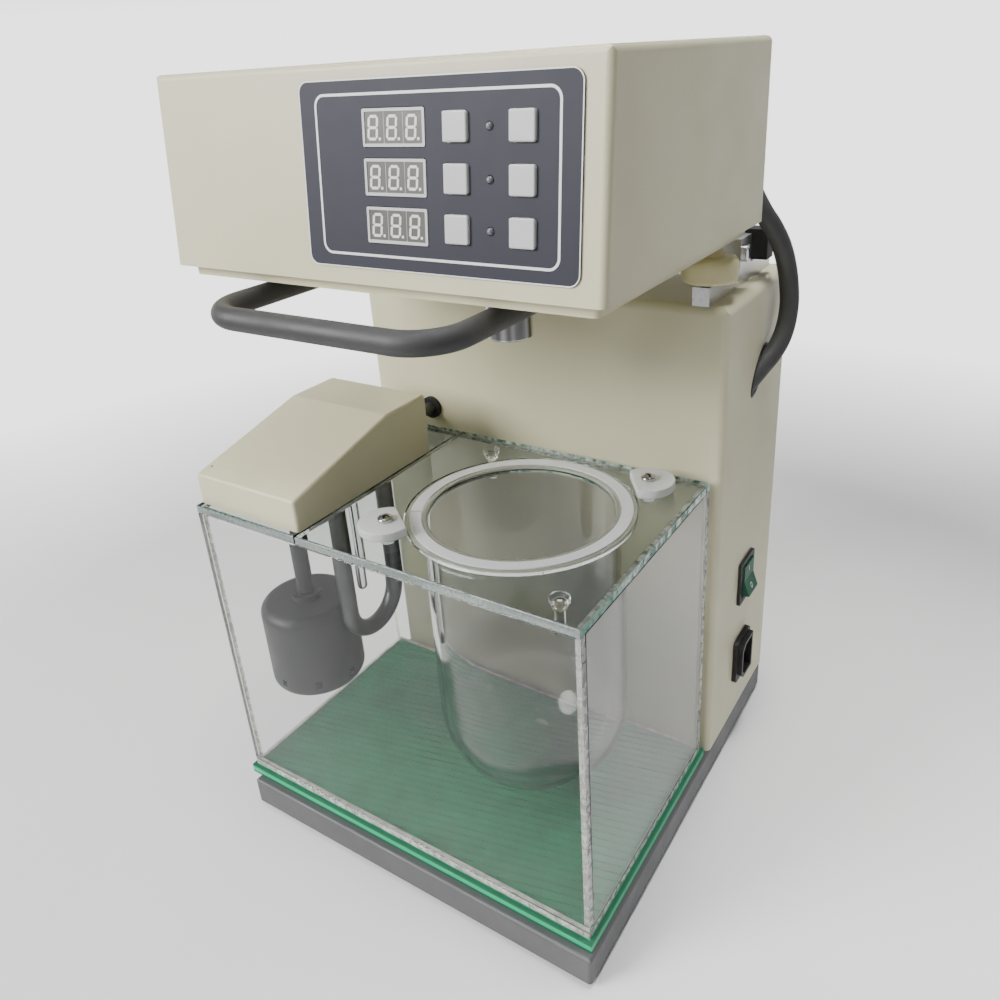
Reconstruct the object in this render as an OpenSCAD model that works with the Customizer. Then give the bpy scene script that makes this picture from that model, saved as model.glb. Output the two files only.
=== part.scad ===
// Single vessel dissolution tester. A clear water bath stands on a low base, with a round
// bottomed glass vessel hung in its lid and a heater and stirrer pump at its left. A column
// behind the bath carries a drive head that tilts back on a hinge bar.
// Millimetres. X is right, Y is back, Z is up, and the front faces -Y. The origin is on the
// table, under the middle of the overall width and depth.

/* [Base] */
// Width of the base
base_w = 250; // [246:1:270]
// Depth of the base
base_d = 272; // [266:1:290]
// Height of the base side wall
base_h = 18; // [14:1:24]
// Middle of the base behind the origin
base_cy = 6; // [4:1:8]
// Fold radius of the base
base_r = 2; // [1.5:0.5:4]
// Sheet thickness of base, column and head
sheet = 2; // [1.5:0.5:2.5]
// Height of the rubber feet below the base wall
foot_h = 4; // [2:1:8]
// Foot diameter
foot_d = 24; // [16:1:30]
// Foot centre in from the base edges
foot_inset = 28; // [22:1:40]

/* [Bath tank] */
// Outer width of the tank
tank_w = 250; // [246:1:254]
// Outer depth of the tank
tank_d = 153; // [151:1:154]
// Middle of the tank to the right of the origin
tank_x = -4; // [-5:1:-2]
// Tank front behind the base front
tank_setback = 7; // [6:1:8]
// Gap between the tank and the column
tank_gap = 6.5; // [5:0.5:9]
// Acrylic thickness of the walls and floor
tank_wall = 5; // [4:0.5:6]
// Height of the tank walls above the floor
wall_h = 186; // [180:1:196]
// Thickness of the glass lid and the heater deck
lid_t = 5; // [4:0.5:6]
// Width of the heater deck at the left of the lid
deck_w = 78.6; // [78:0.2:80]
// Gap between the deck and the lid
lid_gap = 0.8; // [0.5:0.1:2]
// Thickness of the ribbed mat
mat_t = 6; // [4:0.5:8]
// Edge of the mat beyond the tank
mat_over = 2.2; // [0.6:0.2:3]
// Distance between the grooves of the mat
rib_pitch = 5; // [4:0.5:8]
// Width of a groove in the mat
groove_w = 1.6; // [1:0.2:2.4]
// Depth of a groove in the mat
groove_depth = 0.8; // [0.4:0.1:1.5]
// Turn of the grooves from the X axis
rib_angle = 12.7; // [0:0.1:20]

/* [Vessel] */
// Vessel and spindle axis to the right of the origin
vessel_x = 41.6; // [40.6:0.5:42.6]
// Vessel and spindle axis behind the tank middle
vessel_back = 3.6; // [2.6:0.5:4.6]
// Inner diameter of the vessel
vessel_id = 102; // [98:1:104]
// Glass thickness of the vessel
vessel_wall = 2.75; // [2:0.25:3.5]
// Height of the vessel with its flange
vessel_h = 180; // [165:1:186]
// Flange diameter
flange_d = 126; // [124:1:127]
// Flange thickness, which is also the depth of its recess in the lid
flange_t = 3.2; // [2.6:0.1:3.8]
// Rounding of the flange edge
flange_r = 0.8; // [0.4:0.1:1.2]
// Gap around the flange in its recess
seat_gap = 0.4; // [0.3:0.1:0.8]
// Inner diameter of the split ring
ring_id = 108.5; // [107:0.5:110]
// Outer diameter of the split ring
ring_od = 121; // [118:0.5:122.5]
// Thickness of the split ring
ring_t = 0.5; // [0.4:0.1:1.2]
// Width of the slit in the ring
ring_slit = 1.2; // [0.6:0.1:3]
// Direction of the slit seen from above
ring_slit_turn = -150; // [-180:1:180]

/* [Lid fittings] */
// Radius of a locking cam
cam_r = 14.7; // [14:0.1:15.5]
// Distance of the flat side from the cam pivot
cam_flat = 8.2; // [7:0.1:8.5]
// Thickness of a cam
cam_t = 5; // [4:0.5:6]
// Room between the flange and the flat side of a cam
cam_room = 1.7; // [1.4:0.1:2.8]
// Direction of the right cam from the vessel axis
cam_turn = 45; // [44:0.5:46]
// Turn of the left cam from square to the vessel
cam_left_set = 8; // [0:1:10]
// Turn of the right cam from square to the vessel
cam_right_set = -10; // [-10:1:0]
// Diameter of the cam boss on the lid
cam_boss_d = 11; // [9:0.5:13]
// Clearance between the ring and the locked cams
cam_clear = 0.4; // [0.3:0.1:1]
// Diameter of the cam screws
cam_screw_d = 4; // [3:0.5:5]
// Head diameter of the cam screws
cam_head_d = 8.4; // [7:0.2:9]
// Head height of the cam screws
cam_head_h = 2.6; // [2:0.1:3.5]
// Knob diameter
knob_d = 10; // [9:0.5:11]
// Knob height above the lid
knob_h = 6; // [4:0.5:9]
// Knob stem diameter
knob_stem_d = 5; // [4:0.5:6]
// Knob stem length below the lid
knob_stem_l = 8; // [4:0.5:12]
// Gap between the flange and the back knob
knob_back_gap = 1.3; // [1:0.1:4]
// Direction of the back knob from the vessel axis
knob_back_turn = 137; // [134:0.5:140]
// Front knob in from the right edge of the lid
knob_front_x = 16; // [14:1:18]
// Front knob behind the front edge of the lid
knob_front_y = 11; // [10:1:13]

/* [Heater and pump] */
// Width of the heater cover
cover_w = 78; // [76:0.5:78]
// Depth of the heater cover
cover_d = 116; // [110:1:120]
// Cover front behind the tank front
cover_setback = 4; // [2:1:8]
// Height of the cover front
cover_front_h = 19; // [16:1:26]
// Height of the cover
cover_h = 38; // [34:1:44]
// Depth of the sloping part
cover_slope_d = 80; // [70:1:88]
// Edge radius of the cover
cover_r = 2; // [1.5:0.5:4]
// Diameter of the vent hole in the slope
cover_hole_d = 1.6; // [1:0.1:3]
// Vent hole in from the left side of the cover
cover_hole_in = 5; // [4:0.5:20]
// Vent hole behind the cover front
cover_hole_back = 8.4; // [5:0.1:20]
// Wall thickness of the cover
cover_wall = 2; // [1.5:0.5:3]
// Diameter of the heater tube
heater_d = 10.5; // [9:0.5:10.5]
// Distance between the heater legs
heater_span = 41; // [38:1:46]
// Plane of the heater loop in from the cover wall
heater_in = 6.6; // [6.6:0.1:8]
// Middle of the heater loop behind the tank front
heater_back = 61; // [59:1:63]
// Wall of the clamping ferrules on the heater legs
ferrule_t = 1; // [0.6:0.1:1]
// Lowest point of the heater below the deck
heater_drop = 96; // [80:1:110]
// Diameter of the temperature probe
probe_d = 6; // [4:0.5:7]
// Probe to the left of the heater loop
probe_in = 3; // [2:0.5:4]
// Probe in front of the middle of the heater loop
probe_fore = 4; // [1:0.5:5]
// Probe end below the deck
probe_drop = 64; // [50:1:68]
// Diameter of the pump
pump_d = 58; // [54:1:58]
// Pump axis in from the inner side of the left wall
pump_in = 30; // [29.5:0.5:30.5]
// Pump axis behind the inner side of the front wall
pump_back = 35; // [34:1:36]
// Pump top below the deck
pump_drop = 69; // [60:1:76]
// Height of the pump body
pump_h = 42; // [38:1:46]
// Height of the pump cap
pump_cap_h = 15; // [12:1:18]
// Edge radius of the pump
pump_r = 6; // [4:0.5:8]
// Impeller diameter
impeller_d = 42; // [36:1:44]
// Diameter of the pump hanger
hanger_d = 10; // [8:0.5:12]
// Diameter of the clamping collars on the deck
collar_d = 18; // [15:0.5:19]
// Height of the clamping collars
collar_h = 4; // [3:0.5:6]

/* [Column] */
// Depth of the column
col_d = 105.5; // [104:0.5:106]
// Height of the column
col_h = 300; // [296:1:310]
// Radius of the front corners
col_r = 4; // [3:0.5:8]
// Radius of the top edges
col_top_r = 5; // [3:0.5:6]
// Width of the flanges that hold the rear panel
col_flange_w = 12; // [8:1:18]
// Length of a vent slot in the rear panel
vent_w = 60; // [40:1:90]
// Height of a vent slot
vent_h = 4; // [3:0.5:6]

/* [Hinge] */
// Width of a hinge rail
rail_w = 9.4; // [8:0.2:10]
// Height of a hinge rail
rail_h = 10; // [8:0.5:11]
// Length of a hinge rail
rail_l = 101; // [98:1:104]
// Middle of a rail to the side of the origin
rail_x = 109.3; // [108:0.1:110]
// Length of the pivot lug
lug_l = 18; // [16:1:20]
// Height of the pivot lug above the rail
lug_h = 16; // [14:0.5:17]
// Pivot behind the column front
pivot_back = 56; // [55:0.5:57]
// Pivot above the column
pivot_up = 17; // [16:0.5:18]
// Diameter of the pivot screws
pivot_d = 6; // [5:0.5:8]
// Head diameter of the pivot screws
pivot_head_d = 10; // [9:0.5:12]
// Head height of the pivot screws
pivot_head_h = 2; // [1.5:0.5:4]
// Side of the square hinge bar
bar_s = 16; // [14:0.5:16]
// Width of a tongue of the hinge bar
tongue_w = 40; // [30:1:50]
// Middle of a tongue to the side of the origin
tongue_x = 65; // [58:1:66]
// Length of a tongue under the head
tongue_l = 28; // [20:1:40]
// Diameter of the rest wheels
wheel_d = 30; // [28:1:32]
// Thickness of the rest wheels
wheel_t = 13; // [10:0.5:13]
// Rest wheel behind the column front
wheel_back = 12.5; // [11:0.5:15]
// Hub diameter of the rest wheels
wheel_hub_d = 14; // [12:0.5:18]
// Edge radius of the rest wheels
wheel_r = 3; // [1:0.5:4]
// Stud diameter of the rest wheels
stud_d = 6; // [5:0.5:7]
// Width of a tilt buffer
buffer_w = 24; // [20:1:24]
// Length of a tilt buffer
buffer_l = 11; // [9:0.5:12]
// Middle of a tilt buffer behind the pivot
buffer_back = 21; // [20:0.5:23]

/* [Head] */
// Width of the head
head_w = 250; // [248:1:254]
// Depth of the head at its bottom
head_d = 185; // [183:1:187]
// Height of the head above the tray
head_h = 91; // [90:1:96]
// Head back in front of the pivot
head_clear = 10.5; // [10:0.5:12]
// Lean of the front
lean = 6.1; // [4:0.1:7]
// Edge radius of the head
head_r = 3; // [2:0.5:4]
// Width of the flange at the head bottom
head_flange_w = 13; // [10:1:16]
// Space between the column and the tray
head_gap = 31; // [30:0.5:33]
// Height of the tray below the head
tray_h = 5.6; // [5:0.1:8]
// Tray edge in from the head edge
tray_inset = 6; // [5:0.5:8]
// Diameter of the handle bar
handle_d = 11; // [9:0.5:12]
// Distance between the handle legs
handle_w = 136; // [120:1:150]
// Front bar in front of the head
handle_out = 33; // [31:0.5:35]
// Length of the handle legs
handle_l = 122; // [100:1:130]
// Bend radius of the handle
handle_r = 22; // [16:1:30]
// Handle bar below the tray
handle_drop = 6.5; // [6.5:0.5:10]
// Diameter of the handle studs
handle_stud_d = 8; // [6:0.5:9]

/* [Panel] */
// Width of the label
label_w = 140.5; // [138:0.5:144]
// Height of the label
label_h = 77.5; // [75:0.5:80]
// Thickness of the label
label_t = 0.8; // [0.5:0.1:1.2]
// Corner radius of the label
label_r = 5; // [3:0.5:8]
// Middle of the label to the right of the origin
label_x = 44.2; // [43:0.1:46]
// Middle of the label up the front
label_up = 46.2; // [45:0.1:47]
// Distance between the rows
row_pitch = 19.6; // [18:0.1:20]
// Width of a display
display_w = 32.8; // [30:0.1:34]
// Height of a display
display_h = 15; // [13:0.1:16]
// Middle of the displays in from the left edge of the label
display_in = 52.45; // [51:0.05:54]
// Frame width of a display
display_frame = 1.2; // [0.8:0.1:1.6]
// Corner radius of a display
display_r = 0.8; // [0.4:0.1:1.2]
// Depth of the display window
display_sink = 0.4; // [0.2:0.1:0.8]
// Side of a key
key_s = 11.7; // [10:0.1:12.5]
// Corner radius of a key
key_r = 1.4; // [1:0.1:2]
// Key height above the front
key_out = 2.4; // [2:0.1:3]
// Key travel
key_travel = 0.8; // [0.4:0.1:0.8]
// Upper edge radius of a key
key_edge = 0.7; // [0.3:0.1:1]
// Left keys in from the left edge of the label
key_left_in = 84.15; // [83:0.05:85]
// Right keys in from the right edge of the label
key_right_in = 25.25; // [24:0.05:26]
// Diameter of a status light
led_d = 3; // [2.5:0.1:4]
// Lights to the right of the middle between the keys
led_shift = 0.35; // [-0.65:0.05:1.35]

/* [Drive] */
// Spindle diameter
spindle_d = 8; // [6:0.5:8]
// Chuck diameter
chuck_d = 23; // [21:0.5:26]
// Chuck height
chuck_h = 31; // [28:0.2:33]
// Diameter of the shaft bore in the chuck
bore_d = 10; // [8:0.5:12]
// Depth of the shaft bore
bore_l = 20; // [14:0.5:20]
// Outer diameter of a spindle bearing
bearing_od = 22; // [20:0.5:24]
// Thickness of a spindle bearing
bearing_t = 7; // [5:0.5:8]
// Diameter of the bearing housing
housing_d = 34; // [30:0.5:36]
// Height of the bearing housing
housing_h = 26; // [24:0.5:28]
// Diameter of the housing flange
housing_flange_d = 60; // [54:0.5:66]
// Diameter of the gear box
gearbox_d = 52; // [48:1:56]
// Height of the gear box
gearbox_h = 18; // [14:1:20]
// Diameter of the motor
motor_d = 38; // [30:1:44]
// Height of the motor
motor_h = 22; // [16:1:24]
// Height of the motor above the housing flange
motor_up = 43; // [41:0.5:44]

/* [Switch and inlet] */
// Middle of the switch behind the column front
switch_back = 54; // [50:0.5:58]
// Middle of the switch above the base
switch_up = 106; // [96:1:120]
// Width of the switch bezel
bezel_w = 26; // [25:0.5:28]
// Height of the switch bezel
bezel_h = 31.5; // [31.5:0.5:34]
// Width of the rocker
rocker_w = 17; // [14:0.5:17]
// Half height of the rocker
rocker_half = 10.5; // [9:0.25:10.5]
// Rocker angle to each side
rocker_tilt = 10; // [6:0.5:10]
// Middle of the inlet behind the column front
inlet_back = 52.5; // [50:0.5:56]
// Middle of the inlet above the base
inlet_up = 45; // [40:1:52]
// Width of the inlet flange
inlet_w = 26; // [25:0.5:28]
// Height of the inlet flange
inlet_h = 33; // [32:0.5:36]
// Depth of the inlet recess
inlet_depth = 18; // [16:0.5:18]
// Length of the inlet pins
pin_l = 11; // [8:0.5:12]

/* [Cords] */
// Diameter of the conduit from the head to the column
conduit_d = 11; // [9:0.5:11]
// Diameter of the heater cable
cable_d = 8; // [6:0.5:8]
// Heater cable in from the deck edge
cable_in = 27.6; // [24:0.5:32]
// Heater cable above the lid
cable_up = 13; // [11:0.5:15]

/* [Fits] */
// Gap around loose and clipped pieces
gap = 0.3; // [0.2:0.05:0.4]
// Radial gap of turning shafts
run = 0.05; // [0.02:0.01:0.08]

/* [Hidden] */
$fn = 72;
over = 1;
base_top = foot_h + base_h;
base_front = base_cy - base_d / 2;
tank_x0 = tank_x - tank_w / 2;
tank_x1 = tank_x + tank_w / 2;
tank_y0 = base_front + tank_setback;
tank_y1 = tank_y0 + tank_d;
col_front = tank_y1 + tank_gap;
col_back = col_front + col_d;
mat_top = base_top + mat_t;
floor_top = mat_top + tank_wall;
tank_top = floor_top + wall_h;
lid_top = tank_top + lid_t;
deck_x1 = tank_x0 + deck_w;
lid_x0 = deck_x1 + lid_gap;

vessel_y = (tank_y0 + tank_y1) / 2 + vessel_back;
vessel_ri = vessel_id / 2;
vessel_ro = vessel_ri + vessel_wall;
flange_top = lid_top;
seat_z = flange_top - flange_t;
bowl_z = flange_top - vessel_h + vessel_ro;
ring_top = flange_top + ring_t;
lid_hole_gap = 1.2;
cam_z = ring_top + cam_clear;
cam_dist = flange_d / 2 + cam_room + cam_flat;
knob_back_r = flange_d / 2 + knob_back_gap + knob_d / 2;
knob_points = [
    [vessel_x + knob_back_r * cos(knob_back_turn), vessel_y + knob_back_r * sin(knob_back_turn)],
    [tank_x1 - knob_front_x, tank_y0 + knob_front_y]
];
nut_h = 4;

cover_x0 = deck_x1 - cover_w;
cover_y0 = tank_y0 + cover_setback;
cover_y1 = cover_y0 + cover_d;
heater_x = deck_x1 - cover_wall - heater_in;
heater_y = tank_y0 + heater_back;
heater_r = heater_span / 2;
heater_bend_z = tank_top - heater_drop + heater_d / 2 + heater_r;
probe_x = heater_x - probe_in;
probe_y = heater_y - probe_fore;
fitting_up = 10;
pump_x = tank_x0 + tank_wall + pump_in;
pump_y = tank_y0 + tank_wall + pump_back;
pump_top = tank_top - pump_drop;
pump_mid = pump_top - pump_h;
pump_low = pump_mid - pump_cap_h;
pump_wall = 4;
chamber_h = 16;
rotor_shaft_d = 5;
vane_h = 8;
vane_t = 2;
rotor_disc_t = 2;
intake_d = 14;
port_w = 4;
port_h = 5;

col_top = base_top + col_h;
col_x = base_w / 2;
vent_z = col_top - 70;
vent_pitch = 9;
core_s = [60, 50, 40];
coil_s = [40, 62, 26];
core_back = 50;

pivot_y = col_front + pivot_back;
pivot_z = col_top + pivot_up;
rail_top = col_top + rail_h;
rail_y0 = col_front + 0.5;
rail_y1 = rail_y0 + rail_l;
wheel_y = col_front + wheel_back;
shoulder_d = rail_w - 0.6;
shoulder_h = 0.7;
wheel_z = rail_top + shoulder_h + gap;
tray_z = col_top + head_gap;
bar_x = rail_x - rail_w / 2 - 0.4;
bar_screw_l = 10;
wheel_top = tray_z - gap;
stud_top = wheel_top - 2.5;

head_z = tray_z + tray_h;
head_top = head_z + head_h;
head_back = pivot_y - head_clear;
head_front = head_back - head_d;
lean_tan = tan(lean);
tray_y0 = head_front + tray_inset;
tray_y1 = head_back - tray_inset;
buffer_top = pivot_z + head_clear - gap;

handle_y0 = head_front - handle_out;
handle_z = tray_z - handle_drop;
handle_x = handle_w / 2;

label_x0 = label_x - label_w / 2;
label_x1 = label_x + label_w / 2;
display_x = label_x0 + display_in;
key_left_x = label_x0 + key_left_in;
key_right_x = label_x1 - key_right_in;
led_x = (key_left_x + key_right_x) / 2 + led_shift;
rows = [label_up + row_pitch, label_up, label_up - row_pitch];
window_edge = 5;
window_x0 = display_x - display_w / 2 - window_edge;
window_x1 = key_right_x + key_s / 2 + window_edge;
window_up0 = rows[2] - display_h / 2 - window_edge / 2;
window_up1 = rows[0] + display_h / 2 + window_edge / 2;
key_hole = key_s + 2 * gap;
key_flange = key_s + 1.8;
key_flange_t = 1.2;
key_stem_d = 4;
board_t = 1.6;
board_front = -9;
board_edge = 5;
post_d = 6;
switch_s = 6;
switch_top = -key_stem_top();
plunger_d = 3.4;

chuck_z = tray_z - 0.4 - chuck_h;
spindle_z = chuck_z + bore_l + 2.3;
housing_flange_t = 4;
plate_top = tray_z + sheet;
motor_z = plate_top + housing_flange_t + motor_up;
lower_bearing_z = tray_z + 1;
upper_bearing_z = tray_z + housing_h - 1 - bearing_t;
coupling_d = 18;
coupling_z = tray_z + housing_h + 1.5;
coupling_top = motor_z - 2;
spindle_top = coupling_z + 10;
output_d = 6;
output_l = 10;
motor_post_r = 22;

switch_y = col_front + switch_back;
switch_z = base_top + switch_up;
rocker_px = col_x - 3;
rocker_mid = 6.2;
rocker_tip = rocker_mid + rocker_half * tan(rocker_tilt);
rocker_reach = norm([rocker_half, rocker_tip]);
rocker_pin_d = 3;
switch_body = [bezel_w - 3.6, 2 * rocker_reach + 2.8];
switch_body_l = 19;
bezel_t = 2;
inlet_y = col_front + inlet_back;
inlet_z = base_top + inlet_up;
inlet_body = [inlet_w - 6, inlet_h - 5];
inlet_flange_t = 3;
inlet_rim = 3;
inlet_mouth = [16.5, 24];
inlet_cut = 4;
pin_s = [2, 4];
pins = [[-2, 7], [-2, -7], [2, 0]];

cable_x = deck_x1 - cable_in;
cable_z = lid_top + cable_up;
cable_grommet_d = 15;
grommet_lip = 2.5;
head_entry_x = 106;
head_entry_up = 32.4;
col_entry_back = 57.5;
col_entry_down = 52;
head_entry = [head_entry_x, head_back, head_z + head_entry_up];
col_entry = [col_x, col_front + col_entry_back, col_top - col_entry_down];
entry_dir = [-0.41, -0.607, -0.678];
entry_l = 80;
conduit_ring_d = conduit_d + 3;
conduit_route = [
    head_entry + [0, -8, 0],
    head_entry + [0, -2, 0],
    head_entry + [1, 6, -1.5],
    [114, pivot_y + 3, tray_z + 28],
    [124, pivot_y + 6.5, tray_z + 14],
    [127.3, pivot_y + 13.5, col_top + 29],
    [130.7, pivot_y + 19.5, col_top + 10],
    [134, pivot_y + 21.5, col_top - 10],
    [135, pivot_y + 19.5, col_top - 25],
    [133.7, pivot_y + 15.5, col_top - 36.5],
    col_entry - 12 * entry_dir,
    col_entry,
    col_entry + 12 * entry_dir
];
cable_route = [
    [cable_x, cover_y1 - 8, cable_z + 1],
    [cable_x, cover_y1, cable_z + 1],
    [cable_x, cover_y1 + 10, cable_z],
    [cable_x, col_front - 10, cable_z - 2],
    [cable_x, col_front, cable_z - 2.5],
    [cable_x, col_front + 8, cable_z - 2.5]
];
tube_sides = 12;

cream = [0.80, 0.78, 0.70];
dark_grey = [0.30, 0.30, 0.31];
black = [0.08, 0.08, 0.09];
clear = [0.85, 0.92, 0.90, 0.35];
steel = [0.75, 0.75, 0.76];
green = [0.10, 0.45, 0.30];
white = [0.92, 0.92, 0.90];

// Depth of the pressed key stem behind the front
function key_stem_top() = 6.2 + key_travel;

function at(p, i) = p[max(0, min(len(p) - 1, i))];
function unit(v) = v / norm(v);
// Point between b and c on the smooth curve through a, b, c and d
function smooth(a, b, c, d, t) =
    0.5 * (2 * b + (c - a) * t + (2 * a - 5 * b + 4 * c - d) * t * t
    + (3 * b - a - 3 * c + d) * t * t * t);
function curve(p, n) = concat(
    [for (i = [0 : len(p) - 2], k = [0 : n - 1])
        smooth(at(p, i - 1), p[i], p[i + 1], at(p, i + 2), k / n)],
    [p[len(p) - 1]]);
function course(c, i) = unit(at(c, i + 1) - at(c, i - 1));

// Box between two corners
module slab(a, b) {
    translate(a)
        cube(b - a);
}

// Rounded rectangle about the origin
module rounded(w, h, r) {
    square([w - 2 * r, h], center = true);
    square([w, h - 2 * r], center = true);
    for (x = [-1, 1], y = [-1, 1])
        translate([x * (w / 2 - r), y * (h / 2 - r)])
            circle(r);
}

// Outline standing on the X axis with rounded top corners
module arched(w, h, r) {
    translate([-w / 2, 0])
        square([w, h - r]);
    translate([r - w / 2, 0])
        square([w - 2 * r, h]);
    for (x = [-1, 1])
        translate([x * (w / 2 - r), h - r])
            circle(r);
}

// Round tube along a route of points
module swept(route, d, up, steps) {
    c = curve(route, steps);
    n = len(c);
    s = tube_sides;
    points = [
        for (i = [0 : n - 1])
            let (t = course(c, i), u = unit(cross(up, t)), w = cross(t, u))
            for (k = [0 : s - 1])
                c[i] + d / 2 * (cos(360 * k / s) * u + sin(360 * k / s) * w)
    ];
    sides = [
        for (i = [0 : n - 2], k = [0 : s - 1])
            let (a = i * s + k, b = i * s + (k + 1) % s)
            each [[a, a + s, b], [b, a + s, b + s]]
    ];
    caps = [
        [for (k = [0 : s - 1]) k],
        [for (k = [0 : s - 1]) n * s - 1 - k]
    ];
    polyhedron(points, concat(sides, caps));
}

// Children drawn flat land on the leaning front, with Z out of it
module on_front() {
    translate([0, head_front, head_z])
        rotate([90 - lean, 0, 0])
            children();
}

module base_tray() {
    color(dark_grey)
        translate([0, base_cy, foot_h])
            difference() {
                intersection() {
                    rotate([90, 0, 0])
                        linear_extrude(base_d, center = true)
                            arched(base_w, base_h, base_r);
                    rotate([90, 0, 90])
                        linear_extrude(base_w, center = true)
                            arched(base_d, base_h, base_r);
                    linear_extrude(base_h)
                        rounded(base_w, base_d, base_r);
                }
                translate([0, 0, -over])
                    linear_extrude(base_h - sheet + over)
                        square([base_w - 2 * sheet, base_d - 2 * sheet], center = true);
            }
}

module rubber_feet() {
    color(black)
        for (x = [-1, 1], y = [-1, 1])
            translate([x * (base_w / 2 - foot_inset), base_cy + y * (base_d / 2 - foot_inset), 0])
                cylinder(d = foot_d, h = base_top - sheet);
}

module ribbed_mat() {
    span = tank_w + tank_d;
    count = ceil(span / 2 / rib_pitch);
    color(green)
        difference() {
            slab([tank_x0 - mat_over, tank_y0 - mat_over, base_top],
                [tank_x1 + mat_over, tank_y1 + mat_over, mat_top]);
            intersection() {
                slab([tank_x0, tank_y0, base_top], [tank_x1, tank_y1, mat_top + over]);
                translate([tank_x, (tank_y0 + tank_y1) / 2, mat_top - groove_depth])
                    rotate([0, 0, rib_angle])
                        for (i = [-count : count])
                            if (abs(i * rib_pitch) < (tank_w * sin(rib_angle) + tank_d) / 2)
                                translate([-span / 2, i * rib_pitch - groove_w / 2, 0])
                                    cube([span, groove_w, groove_depth + over]);
            }
        }
}

module tank_floor() {
    color(clear)
        slab([tank_x0, tank_y0, mat_top], [tank_x1, tank_y1, floor_top]);
}

module tank_front() {
    color(clear)
        slab([tank_x0, tank_y0, floor_top], [tank_x1, tank_y0 + tank_wall, tank_top]);
}

module tank_back() {
    color(clear)
        slab([tank_x0, tank_y1 - tank_wall, floor_top], [tank_x1, tank_y1, tank_top]);
}

module tank_left() {
    color(clear)
        slab([tank_x0, tank_y0 + tank_wall, floor_top],
            [tank_x0 + tank_wall, tank_y1 - tank_wall, tank_top]);
}

module tank_right() {
    color(clear)
        slab([tank_x1 - tank_wall, tank_y0 + tank_wall, floor_top],
            [tank_x1, tank_y1 - tank_wall, tank_top]);
}

// Children at both cams, the flat side towards the vessel
module at_cam(side) {
    translate([vessel_x, vessel_y, 0])
        rotate([0, 0, cam_turn + (side < 0 ? 180 : 0)])
            translate([cam_dist, 0, 0])
                children();
}

module bath_lid() {
    color(clear)
        difference() {
            slab([lid_x0, tank_y0, tank_top], [tank_x1, tank_y1, lid_top]);
            translate([vessel_x, vessel_y, tank_top - over])
                cylinder(r = vessel_ro + lid_hole_gap, h = lid_t + 2 * over);
            translate([vessel_x, vessel_y, seat_z])
                cylinder(d = flange_d + 2 * seat_gap, h = flange_t + over);
            for (side = [-1, 1])
                at_cam(side)
                    translate([0, 0, tank_top - over])
                        cylinder(d = cam_screw_d + 2 * gap, h = lid_t + 2 * over);
            for (p = knob_points)
                translate([p[0], p[1], tank_top - over])
                    cylinder(d = knob_stem_d + 2 * gap, h = lid_t + 2 * over);
        }
}

module lid_knobs() {
    color(clear)
        for (p = knob_points)
            translate([p[0], p[1], 0]) {
                translate([0, 0, lid_top])
                    rotate_extrude()
                        difference() {
                            union() {
                                square([knob_d / 2 - 1.5, knob_h]);
                                square([knob_d / 2, knob_h - 1.5]);
                                translate([knob_d / 2 - 1.5, knob_h - 1.5])
                                    circle(1.5);
                            }
                            translate([knob_d / 2 + 1, 0])
                                circle(2.5);
                        }
                translate([0, 0, tank_top - knob_stem_l])
                    cylinder(d = knob_stem_d, h = knob_stem_l + lid_t + over);
            }
}

module vessel() {
    color(clear)
        translate([vessel_x, vessel_y, 0])
            rotate_extrude($fn = 128)
                difference() {
                    union() {
                        intersection() {
                            translate([0, bowl_z])
                                circle(vessel_ro);
                            translate([0, bowl_z - vessel_ro])
                                square(vessel_ro);
                        }
                        translate([0, bowl_z])
                            square([vessel_ro, flange_top - bowl_z]);
                        translate([0, seat_z])
                            square([flange_d / 2 - flange_r, flange_t]);
                        translate([0, seat_z + flange_r])
                            square([flange_d / 2, flange_t - 2 * flange_r]);
                        for (z = [seat_z + flange_r, flange_top - flange_r])
                            translate([flange_d / 2 - flange_r, z])
                                circle(flange_r);
                    }
                    translate([0, bowl_z])
                        circle(vessel_ri);
                    translate([0, bowl_z])
                        square([vessel_ri, flange_top - bowl_z + over]);
                }
}

module vessel_ring() {
    color(white)
        translate([vessel_x, vessel_y, flange_top])
            difference() {
                cylinder(d = ring_od, h = ring_t, $fn = 128);
                translate([0, 0, -over])
                    cylinder(d = ring_id, h = ring_t + 2 * over, $fn = 128);
                rotate([0, 0, ring_slit_turn])
                    translate([ring_id / 4, -ring_slit / 2, -over])
                        cube([ring_od / 2, ring_slit, ring_t + 2 * over]);
            }
}

module cam(side) {
    color(white)
        at_cam(side)
            difference() {
                union() {
                    translate([0, 0, cam_z])
                        rotate([0, 0, side < 0 ? cam_left_set : cam_right_set])
                            linear_extrude(cam_t)
                                difference() {
                                    circle(cam_r);
                                    translate([-cam_flat - 2 * cam_r, -2 * cam_r])
                                        square([2 * cam_r, 4 * cam_r]);
                                }
                    translate([0, 0, lid_top])
                        cylinder(d = cam_boss_d, h = cam_z - lid_top + over);
                }
                translate([0, 0, lid_top - over])
                    cylinder(d = cam_screw_d + 2 * run, h = cam_z + cam_t);
            }
}

module cam_left() {
    cam(-1);
}

module cam_right() {
    cam(1);
}

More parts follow.
